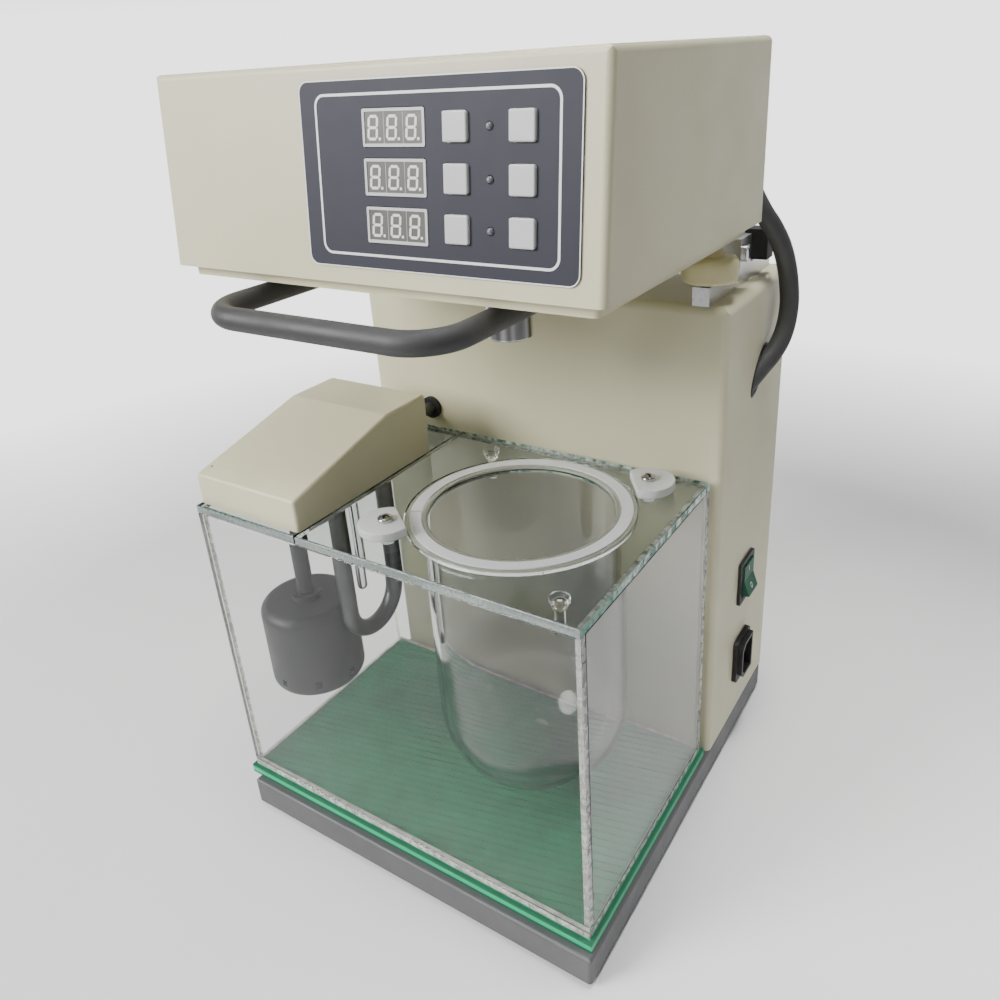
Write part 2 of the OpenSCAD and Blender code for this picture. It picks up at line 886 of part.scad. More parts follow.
module cam_screws() {
    head_z0 = cam_z + cam_t + gap;
    slot_w = 1.2;
    color(steel)
        for (side = [-1, 1])
            at_cam(side)
                difference() {
                    union() {
                        translate([0, 0, tank_top - nut_h])
                            cylinder(d = cam_screw_d, h = head_z0 - tank_top + nut_h + over);
                        translate([0, 0, tank_top - nut_h])
                            cylinder(d = cam_head_d, h = nut_h);
                        translate([0, 0, head_z0])
                            cylinder(d1 = cam_head_d, d2 = cam_head_d - 2, h = cam_head_h);
                    }
                    for (a = [20, 110])
                        rotate([0, 0, a])
                            translate([-cam_head_d / 4, -slot_w / 2, head_z0 + 1])
                                cube([cam_head_d / 2, slot_w, cam_head_h]);
                }
}

// Children at both heater legs
module at_heater_legs() {
    for (y = [-1, 1])
        translate([heater_x, heater_y + y * heater_r, 0])
            children();
}

module heater_deck() {
    color(clear)
        difference() {
            slab([tank_x0, tank_y0, tank_top], [deck_x1, tank_y1, lid_top]);
            at_heater_legs()
                translate([0, 0, tank_top - over])
                    cylinder(d = heater_d + 2 * gap, h = lid_t + 2 * over);
            translate([probe_x, probe_y, tank_top - over])
                cylinder(d = probe_d + 2 * gap, h = lid_t + 2 * over);
            translate([pump_x, pump_y, tank_top - over])
                cylinder(d = hanger_d + 2 * gap, h = lid_t + 2 * over);
        }
}

module heater_cover() {
    r = cover_r;
    w = cover_wall;
    y0 = cover_y0;
    y1 = cover_y1;
    ys = cover_y0 + cover_slope_d;
    low = lid_top + cover_front_h;
    top = lid_top + cover_h;
    color(cream)
        difference() {
            hull($fn = 32)
                for (x = [cover_x0 + r, deck_x1 - r]) {
                    for (y = [y0 + r, y1 - r])
                        translate([x, y, lid_top])
                            cylinder(r = r, h = over, $fn = 32);
                    translate([x, y0 + r, low - r])
                        sphere(r, $fn = 32);
                    translate([x, ys, top - r])
                        sphere(r, $fn = 32);
                    translate([x, y1 - r, top - r])
                        sphere(r, $fn = 32);
                }
            translate([cover_x0 + w, 0, 0])
                rotate([90, 0, 90])
                    linear_extrude(cover_w - 2 * w)
                        polygon([
                            [y0 + w, lid_top - over],
                            [y1 - w, lid_top - over],
                            [y1 - w, top - w],
                            [ys, top - w],
                            [y0 + w, low - w]
                        ]);
            translate([cover_x0 + cover_hole_in, y0 + cover_hole_back, lid_top])
                cylinder(d = cover_hole_d, h = cover_h);
            translate([cable_x, y1 - w - over, cable_z + 1])
                rotate([-90, 0, 0])
                    cylinder(d = cable_d + 4 * gap, h = w + 2 * over);
        }
}

module heater_tube() {
    color(dark_grey) {
        at_heater_legs() {
            translate([0, 0, heater_bend_z])
                cylinder(d = heater_d, h = lid_top + fitting_up - heater_bend_z);
            translate([0, 0, lid_top])
                cylinder(d = heater_d + 2 * ferrule_t, h = collar_h);
        }
        translate([heater_x, heater_y, heater_bend_z])
            rotate([0, 90, 0])
                rotate([0, 0, -90])
                    rotate_extrude(angle = 180)
                        translate([heater_r, 0])
                            circle(d = heater_d);
    }
}

module temperature_probe() {
    color(steel)
        translate([probe_x, probe_y, 0]) {
            translate([0, 0, tank_top - probe_drop + probe_d / 2])
                cylinder(d = probe_d, h = lid_top + fitting_up - tank_top + probe_drop - probe_d / 2);
            translate([0, 0, tank_top - probe_drop + probe_d / 2])
                sphere(d = probe_d);
            translate([0, 0, lid_top])
                cylinder(d = probe_d + 4, h = collar_h);
        }
}

module pump_body() {
    color(black)
        translate([pump_x, pump_y, 0])
            difference() {
                translate([0, 0, pump_mid])
                    rotate_extrude() {
                        square([pump_d / 2, pump_h - pump_r]);
                        square([pump_d / 2 - pump_r, pump_h]);
                        translate([pump_d / 2 - pump_r, pump_h - pump_r])
                            circle(pump_r);
                    }
                translate([0, 0, pump_mid - over])
                    cylinder(d = pump_d - 2 * pump_wall, h = chamber_h + over);
                translate([0, 0, pump_mid])
                    cylinder(d = rotor_shaft_d + 2 * run, h = pump_h - pump_wall);
            }
}

module pump_cap() {
    color(black)
        translate([pump_x, pump_y, 0])
            difference() {
                translate([0, 0, pump_low])
                    rotate_extrude()
                        intersection() {
                            square([pump_d / 2, pump_cap_h]);
                            union() {
                                translate([0, pump_r])
                                    square([pump_d / 2, pump_cap_h]);
                                square([pump_d / 2 - pump_r, pump_cap_h]);
                                translate([pump_d / 2 - pump_r, pump_r])
                                    circle(pump_r);
                            }
                        }
                translate([0, 0, pump_low + pump_wall])
                    cylinder(d = pump_d - 2 * pump_wall, h = pump_cap_h);
                translate([0, 0, pump_low - over])
                    cylinder(d = intake_d, h = pump_wall + 2 * over);
                for (a = [0 : 45 : 315])
                    rotate([0, 0, a])
                        translate([pump_d / 2 - pump_wall - over, -port_w / 2, pump_low + pump_r + 1])
                            cube([pump_wall + 2 * over, port_w, port_h]);
            }
}

module pump_rotor() {
    disc_z = pump_mid + chamber_h - 3;
    color(white)
        translate([pump_x, pump_y, 0]) {
            translate([0, 0, disc_z])
                cylinder(d = impeller_d, h = rotor_disc_t);
            translate([0, 0, disc_z - vane_h])
                cylinder(d = rotor_shaft_d + 4, h = vane_h + over);
            translate([0, 0, disc_z])
                cylinder(d = rotor_shaft_d, h = pump_top - pump_wall - 1 - disc_z);
            for (a = [0 : 60 : 300])
                rotate([0, 0, a])
                    translate([rotor_shaft_d / 2, -vane_t / 2, disc_z - vane_h])
                        cube([impeller_d / 2 - rotor_shaft_d, vane_t, vane_h + over]);
        }
}

module pump_hanger() {
    color(dark_grey)
        translate([pump_x, pump_y, 0]) {
            translate([0, 0, pump_top])
                cylinder(d = hanger_d, h = lid_top + fitting_up - pump_top);
            translate([0, 0, pump_top])
                cylinder(d = collar_d, h = collar_h);
            translate([0, 0, lid_top])
                cylinder(d = collar_d, h = collar_h);
        }
}

module heater_cable() {
    color(black)
        swept(cable_route, cable_d, [0, 0, 1], 2);
}

// Rubber bush through a sheet, its outer lip above the XY plane
module grommet(d, bore) {
    difference() {
        union() {
            cylinder(d = d, h = grommet_lip);
            translate([0, 0, -sheet - gap])
                cylinder(d = d - 4, h = sheet + gap + over);
            translate([0, 0, -sheet - gap - grommet_lip])
                cylinder(d = d - 1, h = grommet_lip);
        }
        translate([0, 0, -sheet - grommet_lip - over])
            cylinder(d = bore, h = sheet + 2 * grommet_lip + 2 * over);
    }
}

module at_cable_hole() {
    translate([cable_x, col_front, cable_z - 2.5])
        rotate([90, 0, 0])
            children();
}

module cable_grommet() {
    color(black)
        at_cable_hole()
            grommet(cable_grommet_d, cable_d + 2 * gap);
}

// Children along the slanting conduit at the side of the column
module at_conduit_hole() {
    translate(col_entry)
        rotate([0, acos(entry_dir[2] / norm(entry_dir)), atan2(entry_dir[1], entry_dir[0])])
            children();
}

module column_shell() {
    color(cream)
        difference() {
            intersection() {
                translate([0, 0, base_top])
                    linear_extrude(col_h)
                        translate([0, col_front + col_d])
                            intersection() {
                                rounded(2 * col_x, 2 * col_d, col_r);
                                translate([-col_x, -col_d])
                                    square([2 * col_x, col_d]);
                            }
                translate([0, col_back, base_top])
                    rotate([90, 0, 0])
                        linear_extrude(col_d)
                            arched(2 * col_x, col_h, col_top_r);
                translate([-col_x, col_back, base_top])
                    rotate([90, 0, 90])
                        linear_extrude(2 * col_x)
                            arched(2 * col_d, col_h, col_top_r);
            }
            difference() {
                translate([0, col_back, base_top - over])
                    linear_extrude(col_h - sheet + over)
                        rounded(2 * (col_x - sheet), 2 * (col_d - sheet), col_r - sheet);
                for (x = [-1, 1])
                    translate([x * (col_x - sheet - col_flange_w / 2), col_back - 1.5 * sheet,
                        base_top + col_h / 2])
                        cube([col_flange_w, sheet, col_h + 4 * over], center = true);
            }
            at_cable_hole()
                cylinder(d = cable_grommet_d - 4 + 2 * gap, h = 4 * sheet, center = true);
            at_conduit_hole()
                cylinder(d = conduit_ring_d + 2 * gap, h = entry_l, center = true);
            translate([col_x - sheet - over, switch_y, switch_z])
                rotate([90, 0, 90])
                    linear_extrude(sheet + 2 * over)
                        square([switch_body[0] + 2 * gap, switch_body[1] + 2 * gap], center = true);
            translate([col_x - sheet - over, inlet_y, inlet_z])
                rotate([90, 0, 90])
                    linear_extrude(sheet + 2 * over)
                        square([inlet_body[0] + 2 * gap, inlet_body[1] + 2 * gap], center = true);
        }
}

module rear_panel() {
    color(cream)
        difference() {
            slab([-col_x + sheet + gap, col_back - sheet, base_top + gap],
                [col_x - sheet - gap, col_back, col_top - sheet - gap]);
            for (i = [0 : 5], x = [-1, 1])
                translate([x * vent_w * 0.7, col_back - sheet / 2, vent_z + i * vent_pitch])
                    cube([vent_w, sheet + 2 * over, vent_h], center = true);
        }
}

module switch_housing() {
    color(black)
        translate([0, switch_y, switch_z])
            difference() {
                union() {
                    translate([col_x, 0, 0])
                        rotate([90, 0, 90])
                            linear_extrude(bezel_t)
                                rounded(bezel_w, bezel_h, 2);
                    translate([col_x - switch_body_l, 0, 0])
                        rotate([90, 0, 90])
                            linear_extrude(switch_body_l + over)
                                square(switch_body, center = true);
                }
                translate([rocker_px, 0, 0])
                    rotate([90, 0, 0])
                        cylinder(r = rocker_reach + gap, h = rocker_w + 2 * gap, center = true);
                translate([rocker_px, 0, 0])
                    rotate([90, 0, 0])
                        cylinder(d = rocker_pin_d + 2 * run, h = rocker_w + 5 * sheet / 2, center = true);
            }
}

module switch_rocker() {
    color(green)
        translate([rocker_px, switch_y, switch_z])
            rotate([90, 0, 0])
                rotate([0, 0, rocker_tilt]) {
                    linear_extrude(rocker_w, center = true)
                        polygon([
                            [-7, -rocker_half],
                            [rocker_tip, -rocker_half],
                            [rocker_mid, 0],
                            [rocker_tip, rocker_half],
                            [-7, rocker_half]
                        ]);
                    cylinder(d = rocker_pin_d, h = rocker_w + 2 * sheet, center = true);
                }
}

// Outline of the inlet mouth, two corners cut
module inlet_outline(grow) {
    w = inlet_mouth[0] / 2 + grow;
    h = inlet_mouth[1] / 2 + grow;
    c = inlet_cut;
    polygon([[-w + c, -h], [w, -h], [w, h], [-w + c, h], [-w, h - c], [-w, -h + c]]);
}

module inlet_socket() {
    out = inlet_flange_t + inlet_rim;
    color(black)
        translate([col_x, inlet_y, inlet_z])
            rotate([90, 0, 90])
                difference() {
                    union() {
                        linear_extrude(inlet_flange_t)
                            rounded(inlet_w, inlet_h, 3);
                        linear_extrude(out)
                            inlet_outline(2);
                        translate([0, 0, out - inlet_depth - sheet])
                            linear_extrude(inlet_depth + sheet - out + over)
                                square(inlet_body, center = true);
                    }
                    translate([0, 0, out - inlet_depth])
                        linear_extrude(inlet_depth + over)
                            inlet_outline(0);
                }
}

module inlet_pins() {
    floor_x = col_x + inlet_flange_t + inlet_rim - inlet_depth;
    color(steel)
        for (p = pins)
            translate([floor_x, inlet_y + p[0] - pin_s[0] / 2, inlet_z + p[1] - pin_s[1] / 2])
                cube([pin_l, pin_s[0], pin_s[1]]);
}

module transformer() {
    color(dark_grey)
        translate([0, col_front + core_back, base_top]) {
            translate([-core_s[0] / 2, -core_s[1] / 2, 0])
                cube(core_s);
            translate([-coil_s[0] / 2, -coil_s[1] / 2, (core_s[2] - coil_s[2]) / 2])
                cube(coil_s);
        }
}

module conduit_grommet() {
    color(black)
        intersection() {
            at_conduit_hole()
                difference() {
                    cylinder(d = conduit_ring_d, h = entry_l, center = true);
                    cylinder(d = conduit_d + 3 * gap, h = entry_l + 2 * over, center = true);
                }
            slab([col_x - sheet - 0.5, col_front, base_top],
                [col_x + 0.5, col_back - 2 * sheet, col_top]);
        }
}

module conduit() {
    color(black)
        swept(conduit_route, conduit_d, [1, 1, 0], 3);
}

module hinge_rails() {
    color(steel)
        for (side = [-1, 1])
            translate([side * rail_x, 0, 0]) {
                translate([0, (rail_y0 + rail_y1) / 2, col_top + rail_h / 2])
                    cube([rail_w, rail_l, rail_h], center = true);
                difference() {
                    translate([0, pivot_y, rail_top - over + (lug_h + over) / 2])
                        cube([rail_w, lug_l, lug_h + over], center = true);
                    translate([0, pivot_y, pivot_z])
                        rotate([0, 90, 0])
                            cylinder(d = pivot_d + 2 * run, h = 2 * rail_w, center = true);
                }
                translate([0, wheel_y, rail_top - over]) {
                    cylinder(d = stud_d, h = stud_top - rail_top + over);
                    cylinder(d = shoulder_d, h = shoulder_h + over);
                }
            }
}

module pivot_screws() {
    out = rail_x + rail_w / 2;
    slot_w = 1.4;
    color(steel)
        for (side = [0, 180])
            rotate([0, 0, side])
                translate([0, side > 0 ? -pivot_y : pivot_y, pivot_z])
                    rotate([0, 90, 0])
                        difference() {
                            union() {
                                translate([0, 0, bar_x - bar_screw_l])
                                    cylinder(d = pivot_d, h = out - bar_x + bar_screw_l + over);
                                translate([0, 0, out])
                                    cylinder(d = pivot_head_d, h = pivot_head_h);
                            }
                            translate([-pivot_head_d, -slot_w / 2, out + pivot_head_h / 2])
                                cube([2 * pivot_head_d, slot_w, pivot_head_h]);
                        }
}

module tilt_buffers() {
    color(black)
        for (side = [-1, 1])
            translate([side * rail_x, pivot_y + buffer_back, (rail_top + buffer_top) / 2])
                cube([buffer_w, buffer_l, buffer_top - rail_top], center = true);
}

module rest_wheel(side) {
    r = wheel_d / 2;
    e = wheel_r;
    color([0.80, 0.74, 0.56])
        translate([side * rail_x, wheel_y, wheel_z])
            difference() {
                rotate_extrude() {
                    square([r - e, wheel_t]);
                    translate([0, e])
                        square([r, wheel_t - 2 * e]);
                    for (z = [e, wheel_t - e])
                        translate([r - e, z])
                            circle(e);
                    square([wheel_hub_d / 2, wheel_top - wheel_z]);
                }
                translate([0, 0, -over])
                    cylinder(d = stud_d + 2 * run, h = stud_top + gap - wheel_z + over);
            }
}

module rest_wheel_left() {
    rest_wheel(-1);
}

module rest_wheel_right() {
    rest_wheel(1);
}

// Side outline of the head drawn with Y to the right and Z up
module head_outline() {
    r = head_r;
    cz = head_top - r;
    cy = head_front + (cz - head_z) * lean_tan + r / cos(lean);
    polygon([
        [head_front, head_z],
        [head_back, head_z],
        [head_back, head_top - r],
        [head_back - r, head_top],
        [cy, head_top],
        [cy - r * cos(lean), cz + r * sin(lean)]
    ]);
    translate([cy, cz])
        circle(r);
    translate([head_back - r, head_top - r])
        circle(r);
}

module head_shell() {
    w = head_w / 2;
    f = head_flange_w;
    inner_front = head_front + sheet / cos(lean);
    color(cream)
        difference() {
            intersection() {
                translate([-w, 0, 0])
                    rotate([90, 0, 90])
                        linear_extrude(2 * w)
                            head_outline();
                translate([0, head_back, head_z])
                    rotate([90, 0, 0])
                        linear_extrude(head_d + over)
                            arched(2 * w, head_h, head_r);
                translate([0, head_front, head_z])
                    rotate([-lean, 0, 0])
                        translate([0, head_d, -head_h])
                            linear_extrude(3 * head_h)
                                rounded(2 * w, 2 * head_d, head_r);
            }
            translate([-w + sheet, 0, 0])
                rotate([90, 0, 90])
                    linear_extrude(2 * w - 2 * sheet)
                        polygon([
                            [inner_front + sheet * lean_tan, head_z + sheet],
                            [head_back - sheet, head_z + sheet],
                            [head_back - sheet, head_top - sheet],
                            [inner_front + (head_h - sheet) * lean_tan, head_top - sheet]
                        ]);
            slab([f - w, head_front + f, head_z - over], [w - f, head_back - f, head_z + 2 * sheet]);
            on_front()
                slab([window_x0, window_up0, -2 * sheet], [window_x1, window_up1, over]);
            translate(head_entry)
                rotate([90, 0, 0])
                    cylinder(d = conduit_d + 3 + 2 * gap, h = 4 * sheet, center = true);
        }
}

module head_tray() {
    w = head_w - 2 * tray_inset;
    d = tray_y1 - tray_y0;
    color(cream)
        translate([0, (tray_y0 + tray_y1) / 2, tray_z])
            difference() {
                linear_extrude(tray_h)
                    rounded(w, d, head_r);
                translate([0, 0, sheet])
                    linear_extrude(tray_h)
                        square([w - 2 * sheet, d - 2 * sheet], center = true);
                translate([vessel_x, vessel_y - (tray_y0 + tray_y1) / 2, -over])
                    cylinder(d = housing_d + 2 * gap, h = sheet + 2 * over);
            }
}

module hinge_bar() {
    h = bar_s / 2;
    color(cream)
        difference() {
            union() {
                slab([-bar_x, pivot_y - h, pivot_z - h], [bar_x, pivot_y + h, pivot_z + h]);
                for (x = [-tongue_x, tongue_x])
                    slab([x - tongue_w / 2, pivot_y - h - tongue_l, pivot_z + h - over],
                        [x + tongue_w / 2, pivot_y + h, tray_z]);
            }
            for (x = [-1, 1])
                translate([x * bar_x, pivot_y, pivot_z])
                    rotate([0, 90, 0])
                        cylinder(d = pivot_d + 2 * run, h = 2 * bar_screw_l + 2 * gap, center = true);
        }
}

module handle() {
    straight = handle_l - handle_r;
    color(dark_grey)
        translate([0, handle_y0, handle_z]) {
            rotate([0, 90, 0])
                cylinder(d = handle_d, h = handle_w - 2 * handle_r, center = true);
            for (side = [-1, 1]) {
                translate([side * handle_x, handle_r, 0])
                    rotate([-90, 0, 0])
                        cylinder(d = handle_d, h = straight);
                translate([side * handle_x, handle_l, 0])
                    sphere(d = handle_d);
                translate([side * (handle_x - handle_r), handle_r, 0])
                    rotate([0, 0, side < 0 ? 180 : 270])
                        rotate_extrude(angle = 90)
                            translate([handle_r, 0])
                                circle(d = handle_d);
                for (y = [handle_l - 8, handle_l / 2])
                    translate([side * handle_x, y, 0])
                        cylinder(d = handle_stud_d, h = handle_drop);
            }
        }
}

module control_label() {
    color([0.18, 0.19, 0.27])
        on_front()
            linear_extrude(label_t)
                difference() {
                    translate([label_x, label_up])
                        rounded(label_w, label_h, label_r);
                    for (up = rows) {
                        for (x = [key_left_x, key_right_x])
                            translate([x, up])
                                rounded(key_hole, key_hole, key_r + gap);
                        translate([display_x, up])
                            rounded(display_w + 2 * gap, display_h + 2 * gap, display_r + gap);
                        translate([led_x, up])
                            circle(d = led_d + 2 * gap);
                    }
                }
}

module displays() {
    window_w = display_w - 2 * display_frame;
    window_h = display_h - 2 * display_frame;
    color([0.80, 0.80, 0.78])
        on_front()
            for (up = rows)
                translate([display_x, up, board_front])
                    difference() {
                        linear_extrude(label_t + 0.4 - board_front)
                            rounded(display_w, display_h, display_r);
                        translate([0, 0, label_t + 0.4 - board_front - display_sink])
                            linear_extrude(over)
                                square([window_w, window_h], center = true);
                    }
}

// Key cap with its corners and upper edges rounded
module key_cap() {
    intersection() {
        linear_extrude(key_out + gap)
            rounded(key_s, key_s, key_r);
        rotate([90, 0, 0])
            linear_extrude(key_s, center = true)
                arched(key_s, key_out + gap, key_edge);
        rotate([90, 0, 90])
            linear_extrude(key_s, center = true)
                arched(key_s, key_out + gap, key_edge);
    }
}

module key(x, up) {
    color(white)
        on_front()
            translate([x, up, 0]) {
                translate([0, 0, -gap])
                    key_cap();
                translate([0, 0, -gap - key_flange_t])
                    linear_extrude(key_flange_t)
                        rounded(key_flange, key_flange, key_r);
                translate([0, 0, -key_stem_top() + key_travel + gap])
                    cylinder(d = key_stem_d, h = key_stem_top() - key_travel - gap);
            }
}

module temperature_key() {
    key(key_left_x, rows[0]);
}

module speed_key() {
    key(key_left_x, rows[1]);
}

module time_key() {
    key(key_left_x, rows[2]);
}

module heat_key() {
    key(key_right_x, rows[0]);
}

module run_key() {
    key(key_right_x, rows[1]);
}

module start_key() {
    key(key_right_x, rows[2]);
}

module status_leds() {
    color(white)
        on_front()
            for (up = rows)
                translate([led_x, up, board_front]) {
                    cylinder(d = led_d, h = label_t - board_front);
                    translate([0, 0, label_t - board_front])
                        intersection() {
                            sphere(d = led_d);
                            cylinder(d = led_d, h = led_d);
                        }
                }
}

module control_board() {
    x0 = window_x0 - post_d / 2 - 1;
    x1 = window_x1 + post_d / 2 + 1;
    color([0.10, 0.35, 0.18])
        on_front() {
            slab([x0 - board_edge, window_up0 - board_edge, board_front - board_t],
                [x1 + board_edge, window_up1 + board_edge, board_front]);
            for (x = [x0, x1], up = [window_up0 + board_edge, window_up1 - board_edge])
                translate([x, up, board_front - over])
                    cylinder(d = post_d, h = -sheet - board_front + over);
            for (x = [key_left_x, key_right_x], up = rows)
                translate([x, up, board_front - over]) {
                    linear_extrude(over - 0.6 - board_front + switch_top)
                        square(switch_s, center = true);
                    cylinder(d = plunger_d, h = over - board_front + switch_top);
                }
        }
}

module gear_motor() {
    color(steel)
        translate([vessel_x, vessel_y, motor_z])
            difference() {
                union() {
                    cylinder(d = gearbox_d, h = gearbox_h);
                    cylinder(d = motor_d, h = gearbox_h + motor_h);
                }
                translate([0, 0, -over])
                    cylinder(d = output_d + 2 * run, h = output_l + 1 + over);
            }
}

module shaft_coupling() {
    color(steel)
        translate([vessel_x, vessel_y, 0])
            difference() {
                union() {
                    translate([0, 0, coupling_z])
                        cylinder(d = coupling_d, h = coupling_top - coupling_z);
                    translate([0, 0, coupling_top - over])
                        cylinder(d = output_d, h = motor_z - coupling_top + output_l + over);
                }
                translate([0, 0, coupling_z - over])
                    cylinder(d = spindle_d + 2 * run, h = spindle_top + gap - coupling_z + over);
            }
}

module spindle() {
    color(steel)
        translate([vessel_x, vessel_y, spindle_z])
            cylinder(d = spindle_d, h = spindle_top - spindle_z);
}

module chuck() {
    r = chuck_d / 2;
    color(steel)
        translate([vessel_x, vessel_y, chuck_z])
            difference() {
                rotate_extrude()
                    polygon([[0, 0], [r - 1, 0], [r, 1], [r, chuck_h - 1], [r - 1, chuck_h], [0, chuck_h]]);
                translate([0, 0, -over])
                    cylinder(d = bore_d, h = bore_l + over);
                translate([0, 0, spindle_z - chuck_z])
                    cylinder(d = spindle_d + 2 * run, h = chuck_h);
            }
}

module bearing_housing() {
    color(steel)
        translate([vessel_x, vessel_y, 0])
            difference() {
                union() {
                    translate([0, 0, tray_z])
                        cylinder(d = housing_d, h = housing_h);
                    translate([0, 0, plate_top])
                        cylinder(d = housing_flange_d, h = housing_flange_t);
                    for (a = [30, 150, 270])
                        rotate([0, 0, a])
                            translate([motor_post_r, 0, plate_top])
                                cylinder(d = post_d, h = motor_z - plate_top);
                }
                translate([0, 0, tray_z - over])
                    cylinder(d = bearing_od - 4, h = housing_h + 2 * over);
                translate([0, 0, tray_z - over])
                    cylinder(d = bearing_od, h = lower_bearing_z + bearing_t - tray_z + over);
                translate([0, 0, upper_bearing_z])
                    cylinder(d = bearing_od, h = housing_h);
            }
}

module spindle_bearings() {
    color(steel)
        for (z = [lower_bearing_z, upper_bearing_z])
            translate([vessel_x, vessel_y, z])
                difference() {
                    cylinder(d = bearing_od - 2 * run, h = bearing_t);
                    translate([0, 0, -over])
                        cylinder(d = spindle_d + 2 * run, h = bearing_t + 2 * over);
                }
}

module head_grommet() {
    color(black)
        translate(head_entry)
            rotate([-90, 0, 0])
                grommet(conduit_d + 7, conduit_d + 1.8);
}

base_tray();
rubber_feet();
ribbed_mat();
tank_floor();
tank_front();
tank_back();
tank_left();
tank_right();
bath_lid();
lid_knobs();
vessel();
vessel_ring();
cam_left();
cam_right();
cam_screws();
heater_deck();
heater_cover();
heater_tube();
temperature_probe();
pump_body();
pump_cap();
pump_rotor();
pump_hanger();
heater_cable();
cable_grommet();
column_shell();
rear_panel();
switch_housing();
switch_rocker();
inlet_socket();
inlet_pins();
transformer();
conduit_grommet();
conduit();
hinge_rails();
pivot_screws();
tilt_buffers();
rest_wheel_left();
rest_wheel_right();
head_shell();
head_tray();
hinge_bar();
handle();
control_label();
displays();
temperature_key();
speed_key();
time_key();
heat_key();
run_key();
start_key();
status_leds();
control_board();
gear_motor();
shaft_coupling();
spindle();
chuck();
bearing_housing();
spindle_bearings();
head_grommet();
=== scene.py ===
import bpy
import math
import numpy as np
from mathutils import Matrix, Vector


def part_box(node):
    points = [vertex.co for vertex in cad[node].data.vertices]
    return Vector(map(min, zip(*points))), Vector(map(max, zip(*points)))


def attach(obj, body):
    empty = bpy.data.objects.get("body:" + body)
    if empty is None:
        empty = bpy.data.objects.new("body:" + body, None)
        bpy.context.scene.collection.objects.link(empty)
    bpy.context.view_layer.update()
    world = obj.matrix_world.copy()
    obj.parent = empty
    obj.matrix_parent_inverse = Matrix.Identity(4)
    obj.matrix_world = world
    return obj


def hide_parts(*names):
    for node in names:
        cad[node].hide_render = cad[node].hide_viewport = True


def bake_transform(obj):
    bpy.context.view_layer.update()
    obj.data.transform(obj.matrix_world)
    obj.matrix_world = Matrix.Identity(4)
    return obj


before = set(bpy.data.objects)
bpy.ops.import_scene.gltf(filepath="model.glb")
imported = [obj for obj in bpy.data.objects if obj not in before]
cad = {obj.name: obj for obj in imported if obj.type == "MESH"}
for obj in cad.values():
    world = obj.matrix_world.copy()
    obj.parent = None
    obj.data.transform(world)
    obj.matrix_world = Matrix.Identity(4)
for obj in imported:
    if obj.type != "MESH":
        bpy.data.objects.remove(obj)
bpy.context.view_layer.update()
mm = 0.001
fine, coarse = 128, 48  # sides of a large and of a small turned piece
print("frame:", len(cad), "CAD pieces")

# camera at the photograph's viewing angle
shot = {
    "place": (0.26809, -0.38319, 0.44762),
    "turn": (65.704, 3.483, 32.744),  # degrees about X, Y and Z
    "lens": 30.817,
    "shift": (-0.00782, -0.0571),
}


def placeCamera(s):
    lens = bpy.data.cameras.new("shotCamera")
    lens.lens = s["lens"]
    lens.sensor_width = 36.0
    lens.shift_x, lens.shift_y = s["shift"]
    lens.clip_start = 0.01
    eye = bpy.data.objects.new("shotCamera", lens)
    eye.location = s["place"]
    eye.rotation_euler = [math.radians(a) for a in s["turn"]]
    bpy.context.collection.objects.link(eye)
    bpy.context.scene.camera = eye


placeCamera(shot)
print("camera set")


# surfaces from arrays
def outward(points, faces):
    # faces are turned to point outwards by the sign of the enclosed volume
    points = np.asarray(points, float)
    tris = np.array([f[:3] for f in faces] + [[f[0], f[2], f[3]] for f in faces if len(f) == 4])
    a, b, c = (points[tris[:, k]] for k in range(3))
    if np.einsum("ij,ij->i", a, np.cross(b, c)).sum() < 0:
        faces = [f[::-1] for f in faces]
    return points, faces


def cornersOf(points, faces):
    # the four corners of each face, a triangle's last one twice
    return points[np.array([f if len(f) == 4 else [*f, f[-1]] for f in faces])]


def faceWays(points, faces):
    # the unit normal of each face, from the cross product of its diagonals
    corner = cornersOf(points, faces)
    way = np.cross(corner[:, 2] - corner[:, 0], corner[:, 3] - corner[:, 1])
    return way / np.maximum(np.linalg.norm(way, axis=1, keepdims=True), 1e-12)


def meshFromArrays(name, points, faces):
    points, faces = outward(points, faces)
    mesh = bpy.data.meshes.new(name)
    mesh.from_pydata(points.tolist(), [], faces)
    mesh.polygons.foreach_set("use_smooth", np.ones(len(mesh.polygons), bool))
    mesh.update()
    return mesh


def gridFaces(rows, cols, wrapRows, wrapCols):
    # each face joins four neighbours of a rows by cols grid of points
    index = np.arange(rows * cols).reshape(rows, cols)
    down = np.roll(index, -1, 0)
    right = np.roll(index, -1, 1)
    both = np.roll(down, -1, 1)
    quads = np.stack([index, right, both, down], -1)
    quads = quads[: rows if wrapRows else rows - 1, : cols if wrapCols else cols - 1]
    return quads.reshape(-1, 4).tolist()


def tube(grid):
    # a grid closed round its columns, with a fan to a middle point at both ends
    rows, cols = grid.shape[:2]
    points = np.vstack([grid.reshape(-1, 3), grid[0].mean(0), grid[-1].mean(0)])
    faces = gridFaces(rows, cols, False, True)
    ring = np.arange(cols)
    after = np.roll(ring, -1)
    last, middle = (rows - 1) * cols, rows * cols
    faces += np.stack([after, ring, np.full(cols, middle)], -1).tolist()
    faces += np.stack([last + ring, last + after, np.full(cols, middle + 1)], -1).tolist()
    return points, faces


def joinArrays(parts):
    # (points, faces) pairs as one pair, the faces renumbered
    points, faces, count = [], [], 0
    for p, f in parts:
        points.append(p)
        faces += [[i + count for i in face] for face in f]
        count += len(p)
    return np.vstack(points), faces


